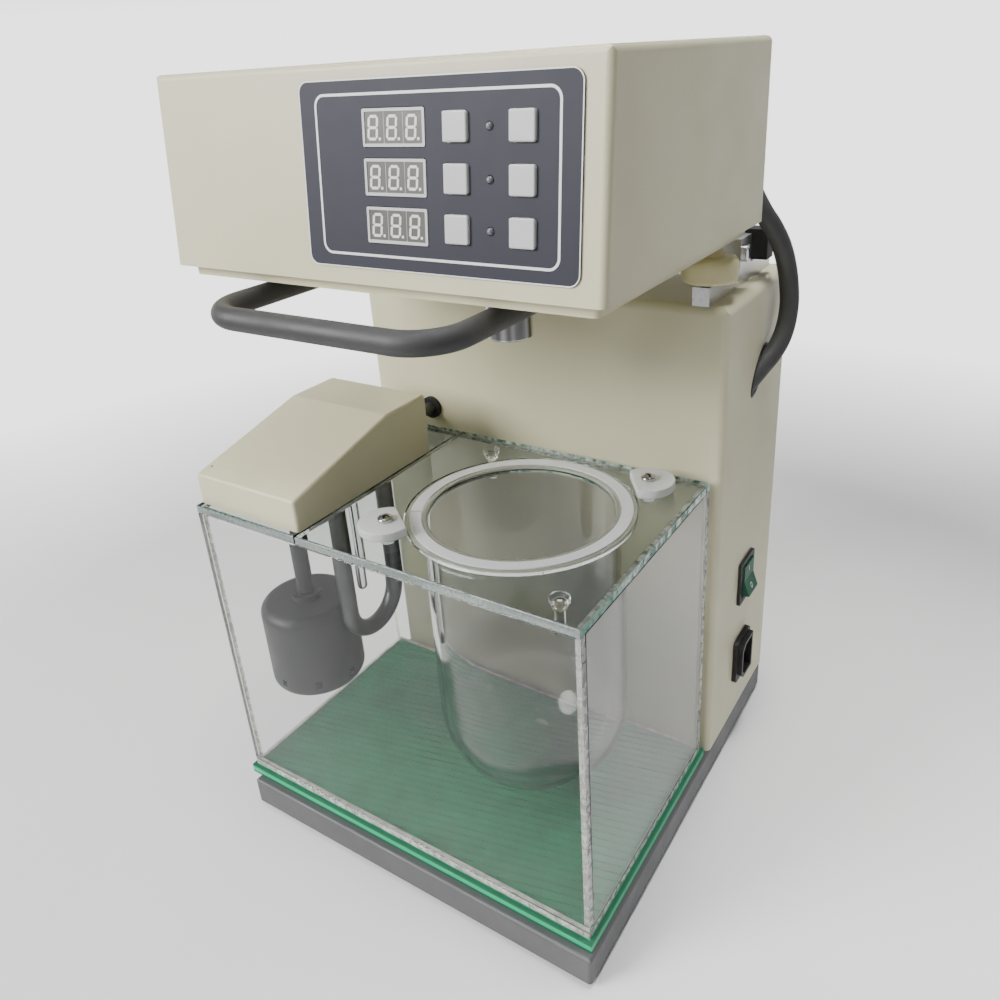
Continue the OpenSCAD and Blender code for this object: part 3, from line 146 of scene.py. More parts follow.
def latheGrid(profile, middle, turns):
    # a profile of (radius, height) carried round a vertical axis
    profile = np.asarray(profile, float)
    angle = np.linspace(0, 2 * np.pi, turns, endpoint=False)
    r, z = profile[:, :1], profile[:, 1:]
    x = middle[0] + r * np.cos(angle)
    y = middle[1] + r * np.sin(angle)
    return np.stack([x, y, np.broadcast_to(z, x.shape)], -1)


def smoothRoute(route, steps):
    # the curve that passes through every point of the route, its bends eased by their neighbours
    p = np.asarray(route, float)
    q = np.vstack([p[:1], p, p[-1:]])
    t = np.linspace(0, 1, steps, endpoint=False)[None, :, None]
    a, b, c, d = (q[k: len(q) - 3 + k][:, None, :] for k in range(4))
    line = 0.5 * (2 * b + (c - a) * t + (2 * a - 5 * b + 4 * c - d) * t ** 2
                  + (3 * b - a - 3 * c + d) * t ** 3)
    return np.vstack([line.reshape(-1, 3), p[-1:]])


def sweepGrid(path, radius, up, sides):
    # a circle carried along a path, its first radius square to the path and to up
    course = np.gradient(path, axis=0)
    course /= np.linalg.norm(course, axis=1, keepdims=True)
    across = np.cross(up, course)
    across /= np.linalg.norm(across, axis=1, keepdims=True)
    over = np.cross(course, across)
    angle = np.linspace(0, 2 * np.pi, sides, endpoint=False)[None, :, None]
    radius = np.broadcast_to(radius, len(path))[:, None, None]
    ring = np.cos(angle) * across[:, None, :] + np.sin(angle) * over[:, None, :]
    return path[:, None, :] + radius * ring


def roundedOutline(w, h, r, steps=6):
    # a rectangle about the origin with its corners turned on a radius
    quarter = np.linspace(0, np.pi / 2, steps)
    turn = (quarter[None, :] + np.arange(4)[:, None] * np.pi / 2).ravel()
    sx = np.repeat([1, -1, -1, 1], steps)
    sy = np.repeat([1, 1, -1, -1], steps)
    return np.stack([sx * (w / 2 - r) + r * np.cos(turn), sy * (h / 2 - r) + r * np.sin(turn)], -1)


def raised(outline, height):
    # a flat outline as points at one height
    return np.column_stack([outline, np.full(len(outline), height)])


def loftGrid(rings):
    # rings of (width, depth, corner radius, height), each a rounded rectangle
    return np.stack([raised(roundedOutline(w, d, r), z) for w, d, r, z in rings])


def turnedLine(corners, steps=5, hold=0.12):
    # straight runs between (radius, height, rounding) corners, each corner eased by a parabola
    line = [np.array([corners[0][:2]], float)]
    for before, here, after in zip(corners, corners[1:], corners[2:]):
        p, q, s = (np.array(c[:2], float) for c in (before, here, after))
        back, on = (p - q) / np.linalg.norm(p - q), (s - q) / np.linalg.norm(s - q)
        reach = here[2] / math.tan(math.acos(max(-1.0, min(1.0, back @ on))) / 2)
        t = np.linspace(0, 1, steps)[:, None]
        bend = (1 - t) ** 2 * (q + back * reach) + 2 * t * (1 - t) * q + t ** 2 * (q + on * reach)
        line.append(np.vstack([q + back * (reach + hold), bend, q + on * (reach + hold)]))
    line.append(np.array([corners[-1][:2]], float))
    return np.vstack(line)


def turned(corners, middle, turns):
    # a lathe piece from its corners in millimetres, about a vertical axis
    line = turnedLine(corners) * mm
    line[:, 0] = np.maximum(line[:, 0], 1e-6)
    return tube(latheGrid(line, middle, turns))


def easedEdges(edge, low, high, steps):
    # (inset, height) pairs up a side whose lower and upper edges are turned on a radius
    a = np.linspace(0, np.pi / 2, steps)
    inset, rise = edge * (1 - np.sin(a)), edge * (1 - np.cos(a))
    return list(zip(inset, low + rise)) + list(zip(inset[::-1], high - rise[::-1]))


def blockRings(w, d, h, edge, least=0.01 * mm):
    # a block whose corners, and upper and lower edges, are eased by the same amount
    return [(w - 2 * i, d - 2 * i, max(edge - i, least), z) for i, z in easedEdges(edge, 0, h, 2)]


def onPanel(points):
    # (across, up, out) of the leaning front to the row frame
    p = np.asarray(points, float)
    s, c = math.sin(front["lean"]), math.cos(front["lean"])
    y = front["y"] + p[..., 1] * s - p[..., 2] * c
    z = front["z"] + p[..., 1] * c + p[..., 2] * s
    return np.stack([p[..., 0], y, z], -1)


def addPiece(name, arrays, body, finish, replaced=(), sharp=35, others=()):
    # others are (finish, truth value for each face) pairs, the last one that is true being used
    mesh = meshFromArrays(name, *arrays)
    mesh.set_sharp_from_angle(angle=math.radians(sharp))
    mesh.materials.append(finish)
    pick = np.zeros(len(mesh.polygons), np.int32)
    for k, (other, faces) in enumerate(others):
        mesh.materials.append(other)
        pick[faces] = k + 1
    mesh.polygons.foreach_set("material_index", pick)
    piece = bpy.data.objects.new(name, mesh)
    bpy.context.collection.objects.link(piece)
    if body:
        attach(piece, body)
    if replaced:
        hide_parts(*replaced)
    return piece


front = {"y": -0.103, "z": 0.3586, "lean": math.radians(6.1)}  # lower front edge of the head


# finishes
def newFinish(name, colour, roughness, metal=0.0):
    finish = bpy.data.materials.new(name)
    finish.use_nodes = True
    shader = finish.node_tree.nodes["Principled BSDF"]
    shader.inputs["Base Color"].default_value = (*colour, 1)
    shader.inputs["Roughness"].default_value = roughness
    shader.inputs["Metallic"].default_value = metal
    return finish, finish.node_tree, shader


def addNode(tree, kind, **values):
    n = tree.nodes.new(kind)
    for key, value in values.items():
        setattr(n, key, value)
    return n


def grain(tree, scale, detail=2.0, stretch=None, turn=None):
    # noise on object coordinates; scale is in waves for each metre
    where = addNode(tree, "ShaderNodeTexCoord").outputs["Object"]
    if stretch:
        m = addNode(tree, "ShaderNodeMapping")
        m.inputs["Scale"].default_value = stretch
        if turn:
            m.inputs["Rotation"].default_value = turn
        tree.links.new(where, m.inputs["Vector"])
        where = m.outputs["Vector"]
    n = addNode(tree, "ShaderNodeTexNoise")
    n.inputs["Scale"].default_value = scale
    n.inputs["Detail"].default_value = detail
    tree.links.new(where, n.inputs["Vector"])
    return n.outputs["Fac"]


def spread(tree, value, low, high, fromLow=0.3, fromHigh=0.7):
    n = addNode(tree, "ShaderNodeMapRange")
    n.inputs["From Min"].default_value = fromLow
    n.inputs["From Max"].default_value = fromHigh
    n.inputs["To Min"].default_value = low
    n.inputs["To Max"].default_value = high
    tree.links.new(value, n.inputs["Value"])
    return n.outputs["Result"]


def tintBetween(tree, value, dark, light):
    n = addNode(tree, "ShaderNodeMix", data_type="RGBA")
    n.inputs[6].default_value = (*dark, 1)
    n.inputs[7].default_value = (*light, 1)
    tree.links.new(value, n.inputs[0])
    return n.outputs[2]


def pressIn(tree, shader, heights):
    # (height value, depth in metres) pairs pressed into the surface one after another
    normal = None
    for value, depth in heights:
        n = addNode(tree, "ShaderNodeBump")
        n.inputs["Strength"].default_value = 1.0
        n.inputs["Distance"].default_value = depth
        tree.links.new(value, n.inputs["Height"])
        if normal:
            tree.links.new(normal, n.inputs["Normal"])
        normal = n.outputs["Normal"]
    tree.links.new(normal, shader.inputs["Normal"])


def shaded(colour, k):
    return tuple(min(1.0, c * k) for c in colour)


def unevenTone(tree, shader, value, colour, vary):
    # the colour wanders by a share of itself, both ways
    tint = tintBetween(tree, value, shaded(colour, 1 - vary), shaded(colour, 1 + vary))
    tree.links.new(tint, shader.inputs["Base Color"])


def unevenGloss(tree, shader, scale, detail, low, high):
    # the roughness wanders between two values
    tree.links.new(spread(tree, grain(tree, scale, detail), low, high), shader.inputs["Roughness"])


def coatFinish(name, colour, roughness, peel, speck, vary=0.05):
    # stoved powder coat: fine grain, broad unevenness of tone, uneven gloss
    finish, tree, shader = newFinish(name, colour, roughness)
    unevenTone(tree, shader, spread(tree, grain(tree, 9, 3), 0, 1), colour, vary)
    unevenGloss(tree, shader, 45, 4, roughness - 0.06, roughness + 0.08)
    pressIn(tree, shader, [(grain(tree, 420, 1), peel), (grain(tree, 1700, 2), speck)])
    return finish


def mouldedFinish(name, colour, roughness, speck, vary=0.08, gloss=0.07):
    # moulded plastic or rubber with a faint spark-eroded grain
    finish, tree, shader = newFinish(name, colour, roughness)
    unevenTone(tree, shader, spread(tree, grain(tree, 60, 3), 0, 1), colour, vary)
    unevenGloss(tree, shader, 130, 3, roughness - gloss, roughness + gloss)
    pressIn(tree, shader, [(grain(tree, 1500, 2), speck)])
    return finish


def metalFinish(name, colour, roughness, stretch, depth, vary=0.06):
    # machined metal: fine lines drawn out along one direction
    finish, tree, shader = newFinish(name, colour, roughness, 1.0)
    lines = grain(tree, 900, 3, stretch)
    unevenTone(tree, shader, spread(tree, lines, 0, 1), colour, vary)
    unevenGloss(tree, shader, 70, 3, roughness - 0.05, roughness + 0.08)
    pressIn(tree, shader, [(lines, depth)])
    return finish


def reflectionBandFinish(name, dark, light, roughness):
    # ground and polished bar: light and dark bands along its axis, painted reflections, over fine turning
    # lines
    finish = metalFinish(name, light, roughness, (1, 1, 9), 0.000004)
    tree = finish.node_tree
    paintedReflections = spread(tree, grain(tree, 150, 1, (1, 1, 0.02)), 0, 1, 0.42, 0.62)
    shader = tree.nodes["Principled BSDF"]
    tree.links.new(tintBetween(tree, paintedReflections, dark, light), shader.inputs["Base Color"])
    return finish


def clearFinish(name, colour, ior, haze):
    # clear sheet with faint wiping marks
    finish, tree, shader = newFinish(name, colour, 0.0)
    shader.inputs["Transmission Weight"].default_value = 1.0
    shader.inputs["IOR"].default_value = ior
    tree.links.new(spread(tree, grain(tree, 25, 4), 0.0, haze, 0.45, 0.8), shader.inputs["Roughness"])
    return finish


def frostedFinish(name, colour, roughness, through):
    # milky plastic that lets part of the light through
    finish, tree, shader = newFinish(name, colour, roughness)
    shader.inputs["Transmission Weight"].default_value = through
    shader.inputs["IOR"].default_value = 1.4
    unevenGloss(tree, shader, 90, 3, roughness - 0.08, roughness + 0.08)
    pressIn(tree, shader, [(grain(tree, 1100, 2), 0.00003)])
    return finish


deepEnd = (-0.095, -0.06)  # a deep coloured end passes into the rest between these places along Y


def edgeFinish(name, dark, light, glint, stretch=None, rough=0.0006, through=0.3, turn=None, deep=None):
    # cut edge of a clear sheet: broken flecks of the edge's own sawn or glued tone, lightened as painted
    # glints and darkened as painted shade, partly lit from within
    finish, tree, shader = newFinish(name, light, 0.3)
    shader.inputs["Transmission Weight"].default_value = through
    shader.inputs["IOR"].default_value = 1.49
    flecks = grain(tree, 190, 3, stretch, turn)
    tint = tintBetween(tree, spread(tree, flecks, 0, 1, 0.5 - glint / 4, 0.5 + glint / 4), dark, light)
    if deep:  # the front end of the edge holds the deep colour
        along = addNode(tree, "ShaderNodeSeparateXYZ")
        tree.links.new(addNode(tree, "ShaderNodeTexCoord").outputs["Object"], along.inputs[0])
        mix = addNode(tree, "ShaderNodeMix", data_type="RGBA")
        tree.links.new(spread(tree, along.outputs["Y"], 0.9, 0, *deepEnd), mix.inputs[0])
        tree.links.new(tint, mix.inputs[6])
        mix.inputs[7].default_value = (*deep, 1)
        tint = mix.outputs[2]
    tree.links.new(tint, shader.inputs["Base Color"])
    unevenGloss(tree, shader, 300, 2, 0.12, 0.45)
    pressIn(tree, shader, [(flecks, rough)])
    return finish


mat = {
    "inner": (0.05, 0.42, 0.21),
    # dark and bright: the rim's painted shade and its painted lit stripe outside the bath
    "dark": (0.004, 0.12, 0.055),
    "bright": (0.01, 0.46, 0.20),
    "under": (-0.004, -0.0465, 0.1250, 0.0765),  # middle and half size of the bath that stands on it
    "band": (0.0234, 0.0266),  # heights of the paler stripe on its side, a painted lit band between painted shade
    "soft": 0.0003,  # half width of the stripe's edges
    "rim": 0.0002,  # width over which the rim's painted shade begins
}


def matPaintedShadeFinish(name, m):
    # sheet rubber: outside the bath the rim is darker as painted shade, with a paler painted lit stripe in
    # its thickness along the side
    finish = mouldedFinish(name, m["inner"], 0.55, 0.00006, 0.1)
    tree = finish.node_tree
    shader = tree.nodes["Principled BSDF"]
    where = addNode(tree, "ShaderNodeSeparateXYZ")
    tree.links.new(addNode(tree, "ShaderNodeTexCoord").outputs["Object"], where.inputs[0])

    def reckon(kind, a, b):
        n = addNode(tree, "ShaderNodeMath", operation=kind)
        for socket, value in zip(n.inputs, (a, b)):
            if isinstance(value, float):
                socket.default_value = value
            else:
                tree.links.new(value, socket)
        return n.outputs[0]

    x, y = (reckon("ABSOLUTE", reckon("SUBTRACT", where.outputs[k], m["under"][k]), 0.0) for k in (0, 1))
    out = reckon("MAXIMUM", reckon("SUBTRACT", x, m["under"][2]), reckon("SUBTRACT", y, m["under"][3]))
    (low, high), soft = m["band"], m["soft"]
    height = where.outputs["Z"]
    paintedLitStripe = reckon("MULTIPLY", spread(tree, height, 0, 1, low - soft, low + soft),
                    spread(tree, height, 1, 0, high - soft, high + soft))
    mix = addNode(tree, "ShaderNodeMix", data_type="RGBA")
    tree.links.new(spread(tree, out, 0, 1, 0.0, m["rim"]), mix.inputs[0])
    tree.links.new(shader.inputs["Base Color"].links[0].from_socket, mix.inputs[6])
    tree.links.new(tintBetween(tree, paintedLitStripe, m["dark"], m["bright"]), mix.inputs[7])
    tree.links.new(mix.outputs[2], shader.inputs["Base Color"])
    return finish


cream = coatFinish("creamCoat", (0.62, 0.59, 0.405), 0.42, 0.00005, 0.00003)
darkCoat = coatFinish("darkCoat", (0.085, 0.085, 0.088), 0.48, 0.00012, 0.00005, 0.1)
handleCoat = coatFinish("handleCoat", (0.040, 0.040, 0.041), 0.58, 0.00012, 0.00005, 0.1)
blackRubber = mouldedFinish("blackRubber", (0.014, 0.014, 0.015), 0.6, 0.00004)
jacketRubber = mouldedFinish("jacketRubber", (0.05, 0.051, 0.05), 0.5, 0.00003)
blackPlastic = mouldedFinish("blackPlastic", (0.010, 0.010, 0.011), 0.5, 0.000003)
whitePlastic = mouldedFinish("whitePlastic", (0.75, 0.75, 0.72), 0.4, 0.00002, 0.03)
keyPlastic = mouldedFinish("keyPlastic", (0.54, 0.55, 0.54), 0.42, 0.00002, 0.03)
nylon = mouldedFinish("wheelNylon", (0.60, 0.55, 0.31), 0.42, 0.00004, 0.06)
greenRocker = mouldedFinish("greenRocker", (0.004, 0.085, 0.042), 0.5, 0.000003, 0.06, 0.03)
labelFilm = mouldedFinish("labelFilm", (0.013, 0.013, 0.026), 0.6, 0.000003, 0.03, 0.01)
windowGrey = mouldedFinish("displayWindow", (0.10, 0.095, 0.085), 0.4, 0.00001, 0.05)
frameGrey = mouldedFinish("displayFrame", (0.55, 0.56, 0.55), 0.4, 0.00001, 0.03)
segmentWhite = mouldedFinish("displaySegment", (0.78, 0.80, 0.76), 0.35, 0.00001, 0.02)
# white print, also used for the label's thin border, a painted highlight
printAndHighlightWhite = mouldedFinish("printAndHighlightWhite", (0.80, 0.81, 0.80), 0.4, 0.00001, 0.02)
boardGreen = mouldedFinish("boardLaminate", (0.02, 0.16, 0.06), 0.45, 0.00003)
lampLens = mouldedFinish("lampLens", (0.17, 0.17, 0.185), 0.3, 0.00001)
matGreen = matPaintedShadeFinish("matRubberPaintedShade", mat)
polished = metalFinish("polishedSteel", (0.72, 0.72, 0.73), 0.14, (1, 1, 9), 0.000004)
plainSteel = metalFinish("plainSteel", (0.52, 0.52, 0.53), 0.34, (1, 9, 1), 0.00001)
sheath = metalFinish("heaterSheath", (0.10, 0.10, 0.105), 0.4, (1, 1, 5), 0.00001, 0.2)
milled = metalFinish("milledAluminium", (0.78, 0.78, 0.78), 0.3, (9, 1, 9), 0.00001)
brass = metalFinish("platedBrass", (0.66, 0.57, 0.36), 0.28, (1, 9, 9), 0.00001)
ironCore = metalFinish("ironCore", (0.16, 0.15, 0.15), 0.5, (1, 1, 12), 0.00003, 0.2)
acrylic = clearFinish("clearAcrylic", (0.93, 0.94, 0.93), 1.24, 0.012)
sideAcrylic = clearFinish("sideAcrylic", (1.0, 1.0, 1.0), 1.49, 0.012)
lidAcrylic = clearFinish("lidAcrylic", (0.80, 0.85, 0.82), 1.24, 0.01)
vesselGlass = clearFinish("vesselGlass", (1.0, 1.0, 0.99), 1.36, 0.008)
# the flecks of every edge finish are partly the cut edge's own tone and partly painted glints and painted
# shade
sawnEdge = edgeFinish("sawnEdge", (0.50, 0.50, 0.47), (0.80, 0.79, 0.74), 0.35)
gluedEdge = edgeFinish("gluedEdge", (0.70, 0.69, 0.62), (0.97, 0.96, 0.90), 0.35, (1, 1, 0.2))
greenEdge = edgeFinish("greenEdge", (0.0, 0.15, 0.10), (0.80, 0.95, 0.90), 0.3, (1, 1, 0.3), 0.0006, 0.15,
                       (0.8, 0, 0), (0.0, 0.22, 0.13))
tealLine = edgeFinish("tealLine", (0.002, 0.035, 0.028), (0.05, 0.20, 0.16), 0.8, (0.1, 0.1, 1), 0.0001)
clearEdge = edgeFinish("clearEdge", (0.20, 0.26, 0.25), (0.52, 0.57, 0.55), 0.8, (0.1, 0.1, 1), 0.0001, 0.5)
endEdge = edgeFinish("endEdge", (0.24, 0.24, 0.23), (0.66, 0.66, 0.62), 0.5, (1, 1, 0.12), 0.0002)
turnedEdge = clearFinish("turnedEdge", (0.93, 0.97, 0.92), 1.49, 0.5)
# pale milky glass on the vessel's lip and flange, a painted highlight that brightens their dark lines
lipPaintedHighlight = frostedFinish("lipPaintedHighlight", (0.80, 0.83, 0.70), 0.16, 0.7)
frosted = frostedFinish("frostedAcrylic", (0.90, 0.91, 0.90), 0.4, 0.4)
ringFrost = frostedFinish("ringFrost", (0.86, 0.87, 0.90), 0.35, 0.2)
screwSteel = metalFinish("screwSteel", (0.50, 0.50, 0.49), 0.12, (9, 1, 9), 0.000003)
# near-black metal in the screw crosses and pivot slots, painted shade in the recesses
recessPaintedShade = metalFinish("recessPaintedShade", (0.04, 0.04, 0.04), 0.4, (1, 1, 9), 0.00001)
# the chuck's light and dark bands along its axis are painted reflections
chuckSteel = reflectionBandFinish("chuckSteel", (0.08, 0.08, 0.078), (1.0, 1.0, 0.99), 0.14)
print("finishes made")

nodeFinish = {
    cream: ["column_shell", "rear_panel", "head_shell", "head_tray", "heater_cover", "hinge_bar"],
    darkCoat: ["base_tray"],
    handleCoat: ["handle"],
    blackRubber: ["rubber_feet", "tilt_buffers", "cable_grommet", "conduit_grommet", "head_grommet"],
    jacketRubber: ["conduit", "heater_cable"],
    blackPlastic: ["pump_body", "pump_cap", "pump_hanger", "switch_housing", "inlet_socket"],
    whitePlastic: ["pump_rotor"],
    keyPlastic: ["temperature_key", "speed_key", "time_key", "heat_key", "run_key", "start_key"],
    nylon: ["rest_wheel_left", "rest_wheel_right"],
    greenRocker: ["switch_rocker"],
    labelFilm: ["control_label"],
    frameGrey: ["displays"],
    boardGreen: ["control_board"],
    lampLens: ["status_leds"],
    matGreen: ["ribbed_mat"],
    polished: ["temperature_probe", "pivot_screws"],
    screwSteel: ["cam_screws"],
    chuckSteel: ["spindle", "chuck"],
    plainSteel: ["spindle_bearings", "shaft_coupling", "gear_motor"],
    sheath: ["heater_tube"],
    milled: ["hinge_rails", "bearing_housing"],
    brass: ["inlet_pins"],
    ironCore: ["transformer"],
    acrylic: ["tank_floor", "tank_front", "tank_back", "tank_left", "tank_right", "lid_knobs"],
    lidAcrylic: ["bath_lid", "heater_deck"],
    vesselGlass: ["vessel"],
    frosted: ["cam_left", "cam_right"],
    ringFrost: ["vessel_ring"],
}
for finish, names in nodeFinish.items():
    for name in names:
        for slot in cad[name].material_slots:
            slot.material = finish
print("CAD pieces finished:", sum(len(v) for v in nodeFinish.values()))

# cords
cordMesh = {"steps": 10, "sides": 28}  # points between two of the route, and round the cord
conduit = {
    "diameter": 0.011,
    "route": [
        (106, 74, 391), (106, 80, 391), (106.72, 87.18, 389.58), (108.74, 93.02, 385.58),
        (111.69, 96.42, 379.76), (114.6, 97.4, 371.5), (120.4, 98.8, 360.8), (125.2, 103.2, 351.7),
        (129.4, 107.8, 340.8), (132.2, 111.5, 328), (133.9, 113.4, 315.2), (134.5, 113.6, 305),
        (134.2, 111.4, 294.6), (132.9, 106.8, 285.8), (129.92, 101.284, 278.136), (125, 94, 270),
        (120.08, 86.716, 261.864),
    ],
    "up": (1, 1, 0),
}
heaterCable = {
    "diameter": 0.008,
    "route": [
        (-78, -11, 238), (-78, -3, 238), (-78, 7, 237), (-78, 26.5, 235), (-78, 36.5, 234.5),
        (-78, 44.5, 234.5),
    ],
    "up": (0, 0, 1),
}


def makeCord(name, c, node):
    # a circle carried along the smoothed route
    path = smoothRoute(np.array(c["route"]) * mm, cordMesh["steps"])
    arrays = tube(sweepGrid(path, c["diameter"] / 2, c["up"], cordMesh["sides"]))
    piece = addPiece(name, arrays, None, jacketRubber, (node,), 60)
    length = float(np.linalg.norm(np.diff(path, axis=0), axis=1).sum())
    return piece, path, length


piece, path, length = makeCord("conduitHose", conduit, "conduit")
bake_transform(piece)
print("conduit", round(length, 4))
piece, path, length = makeCord("heaterLead", heaterCable, "heater_cable")
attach(piece, "base")
print("heater lead", round(length, 4))

# bath sheets
sheets = {
    "edge": 0.4 * mm,
    "inset": 0.06 * mm,  # keeps two clear faces from lying in one plane
    "thin": {  # the axis along which each sheet is thin
        "tank_floor": 2, "tank_front": 1, "tank_back": 1, "tank_left": 0, "tank_right": 0, "heater_deck": 2,
    },
}


def sheetArrays(node, s):
    # a block with bevelled edges, its short side along one axis
    thin = s["thin"][node]
    low, high = (np.array(v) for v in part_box(node))
    size = high - low - 2 * s["inset"]
    order = [a for a in range(3) if a != thin] + [thin]
    w, d, h = size[order]
    points, faces = tube(loftGrid(blockRings(w, d, h, s["edge"])))
    shift = (low + high) / 2
    shift[thin] = low[thin] + s["inset"]
    placed = np.empty_like(points)
    placed[:, order] = points
    return outward(placed + shift, faces)


def facing(arrays, *ways):
    # truth value for each face that looks one of the ways, such as (1, -1) for the -Y side
    normal = faceWays(*arrays)
    return np.any([normal[:, axis] * sign > 0.8 for axis, sign in ways], axis=0)


def upperBevel(arrays):
    # truth value for each face that leans halfway between up and the front or back
    normal = faceWays(*arrays)
    return (np.abs(normal[:, 2] - 0.7) < 0.2) & (np.abs(normal[:, 1]) > 0.5)


floor = sheetArrays("tank_floor", sheets)
addPiece("tank_floor.sheet", floor, "base", acrylic, ("tank_floor",), 30,
         [(sawnEdge, facing(floor, (0, 1), (0, -1), (1, 1), (1, -1)))])
for node in ("tank_front", "tank_back"):
    wall = sheetArrays(node, sheets)
    addPiece(node + ".sheet", wall, "base", acrylic, (node,), 30,
             [(gluedEdge, facing(wall, (2, -1))), (endEdge, facing(wall, (0, 1), (0, -1), (2, 1)))])
for node, finish in (("tank_left", acrylic), ("tank_right", sideAcrylic)):
    wall = sheetArrays(node, sheets)
    addPiece(node + ".sheet", wall, "base", finish, (node,), 30,
             [(gluedEdge, facing(wall, (2, -1), (1, 1), (1, -1))), (endEdge, facing(wall, (2, 1)))])
deck = sheetArrays("heater_deck", sheets)
addPiece("heater_deck.sheet", deck, "base", lidAcrylic, ("heater_deck",), 30,
         [(greenEdge, facing(deck, (1, 1))), (clearEdge, facing(deck, (0, -1), (1, -1))),
          (tealLine, upperBevel(deck))])

lid = {
    "hole": 54.95 * mm, "seatGap": 0.4 * mm, "seat": 3.2 * mm, "bevel": 0.4 * mm, "inset": 0.06 * mm,
    "rays": 160,
}
vessel = {
    "inner": 51.0, "wall": 2.75, "flange": 3.2, "edge": 0.8, "lip": 1.0, "rest": 0.06, "turns": fine,
    "frosted": (56, 74),  # rows of the profile between which the lip and flange take a milky pale tint, a painted highlight
}
flangeLow, flangeHigh = (np.array(v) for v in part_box("vessel"))
vesselMiddle = ((flangeLow + flangeHigh) / 2)[:2]
flangeRadius = (flangeHigh[0] - flangeLow[0]) / 2


def lidGrid(s):
    # each ray from the vessel axis runs from the hole over the recess to the straight border
    low, high = (np.array(v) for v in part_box("bath_lid"))
    low, high = low + s["inset"], high - s["inset"]
    corner = np.array([(x, y) for x in (low[0], high[0]) for y in (low[1], high[1])]) - vesselMiddle
    even = np.linspace(-np.pi, np.pi, s["rays"], endpoint=False)
    angle = np.unique(np.append(even, np.arctan2(corner[:, 1], corner[:, 0])))
    ray = np.stack([np.cos(angle), np.sin(angle)], -1)
    space = np.where(ray > 0, high[:2] - vesselMiddle, vesselMiddle - low[:2])
    reach = (space / np.maximum(np.abs(ray), 1e-9)).min(1)
    b, whole = s["bevel"], np.ones(len(angle))
    hole, recess = whole * s["hole"], whole * (flangeRadius + s["seatGap"])
    seat = high[2] - s["seat"]
    rings = [
        (reach, low[2] + b), (reach, high[2] - b), (reach - b, high[2]), (recess + b, high[2]),
        (recess, high[2] - b), (recess, seat), (hole + b, seat), (hole, seat - b),
        (hole, low[2] + b), (hole + b, low[2]), (reach - b, low[2]),
    ]
    return np.stack([raised(vesselMiddle + ray * r[:, None], z) for r, z in rings])


grid = lidGrid(lid)
plateArrays = outward(grid.reshape(-1, 3), gridFaces(grid.shape[0], grid.shape[1], True, True))
row = np.repeat(np.arange(grid.shape[0]), grid.shape[1])
border = row == 0  # row 1 is the upper bevel, rows 4 and 7 are the turned walls
addPiece("bath_lid.sheet", plateArrays, "lid", lidAcrylic, ("bath_lid",), 30,
         [(greenEdge, border & facing(plateArrays, (0, 1), (1, 1))),
          (clearEdge, border & facing(plateArrays, (1, -1))),
          (tealLine, (row == 1) & upperBevel(plateArrays)), (turnedEdge, (row == 4) | (row == 7))])


def vesselProfile(v, top, low, radius):
    # outer bowl, wall, flange and rounded lip, then down the inner wall to the inner bowl
    a = np.linspace(-np.pi / 2, 0, 40)
    turn = np.linspace(0, np.pi / 2, 6)
    ro, ri, e, l = v["inner"] + v["wall"], v["inner"], v["edge"], v["lip"]
    bowl, seat = low + ro, top - v["flange"] + v["rest"]
    outer = np.column_stack([ro * np.cos(a), bowl + ro * np.sin(a)])
    wall = np.column_stack([np.full(12, ro), np.linspace(bowl + 4, seat - 1.5, 12)])
    root = np.column_stack([ro + 1.1 * (1 - np.cos(turn)), seat - 1.5 * (1 - np.sin(turn))])[1:]
    under = np.column_stack([radius - e + e * np.sin(turn), seat + e * (1 - np.cos(turn))])
    over = np.column_stack([radius - e + e * np.cos(turn), top - e + e * np.sin(turn)])
    lip = np.column_stack([ri + l * (1 - np.sin(turn)), top - l * (1 - np.cos(turn))])
    inside = np.column_stack([np.full(12, ri), np.linspace(top - l - 2, bowl + 4, 12)])
    inner = np.column_stack([ri * np.cos(a[::-1]), bowl + ri * np.sin(a[::-1])])
    line = np.vstack([outer, wall, root, under, over, lip, inside, inner]) * mm
    line[:, 0] = np.maximum(line[:, 0], 1e-6)
    return line


profile = vesselProfile(vessel, flangeHigh[2] / mm, flangeLow[2] / mm, flangeRadius / mm)
glass = tube(latheGrid(profile, vesselMiddle, vessel["turns"]))
row = np.zeros(len(glass[1]), int)  # the fans at both ends stay in row 0
row[: -2 * vessel["turns"]] = np.repeat(np.arange(len(profile) - 1), vessel["turns"])
first, last = vessel["frosted"]
# the lip and flange rows take the milky pale tint, a painted highlight
addPiece("vessel.glass", glass, "vessel", vesselGlass, ("vessel",), 60,
         [(lipPaintedHighlight, (row > first) & (row < last))])
print("bath sheets, lid and vessel made")

# knobs, cams and screws on the lid
lidTop = float(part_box("bath_lid")[1][2]) / mm
knobs = {
    "places": [(-0.00908, 0.00436), (0.105, -0.112)],
    "radius": 5.0, "stem": 2.5, "drop": 13.0, "gap": 0.05, "end": 0.8,
    "line": [(1.1, 0.05, 0.2), (1.9, 1.4, 0.5), (0, 2.9, 0.6), (0, 6.0, 1.4)],  # inset, rise and rounding
}
cams = {
    "radius": 14.7, "flat": 8.2, "thick": 5.0, "edge": 0.45, "boss": 5.5, "core": 4.9, "gap": 0.03,
    "ways": {"cam_left": 53, "cam_right": 215},
}
screws = {
    "radius": 4.2, "rise": 2.6, "side": 1.0, "shank": 2.0, "nut": 4.0, "edge": 0.5,
    "cross": 0.62, "arm": 2.5, "sink": 1.5, "soft": (0.2, 0.5),
    "turns": (20, 51),  # degrees by which each cross is turned
}
screwLow, screwHigh = (np.array(v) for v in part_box("cam_screws"))
screwInset = np.array([screws["radius"], screws["radius"]]) * mm
pivots = {"cam_left": screwLow[:2] + screwInset, "cam_right": screwHigh[:2] - screwInset}


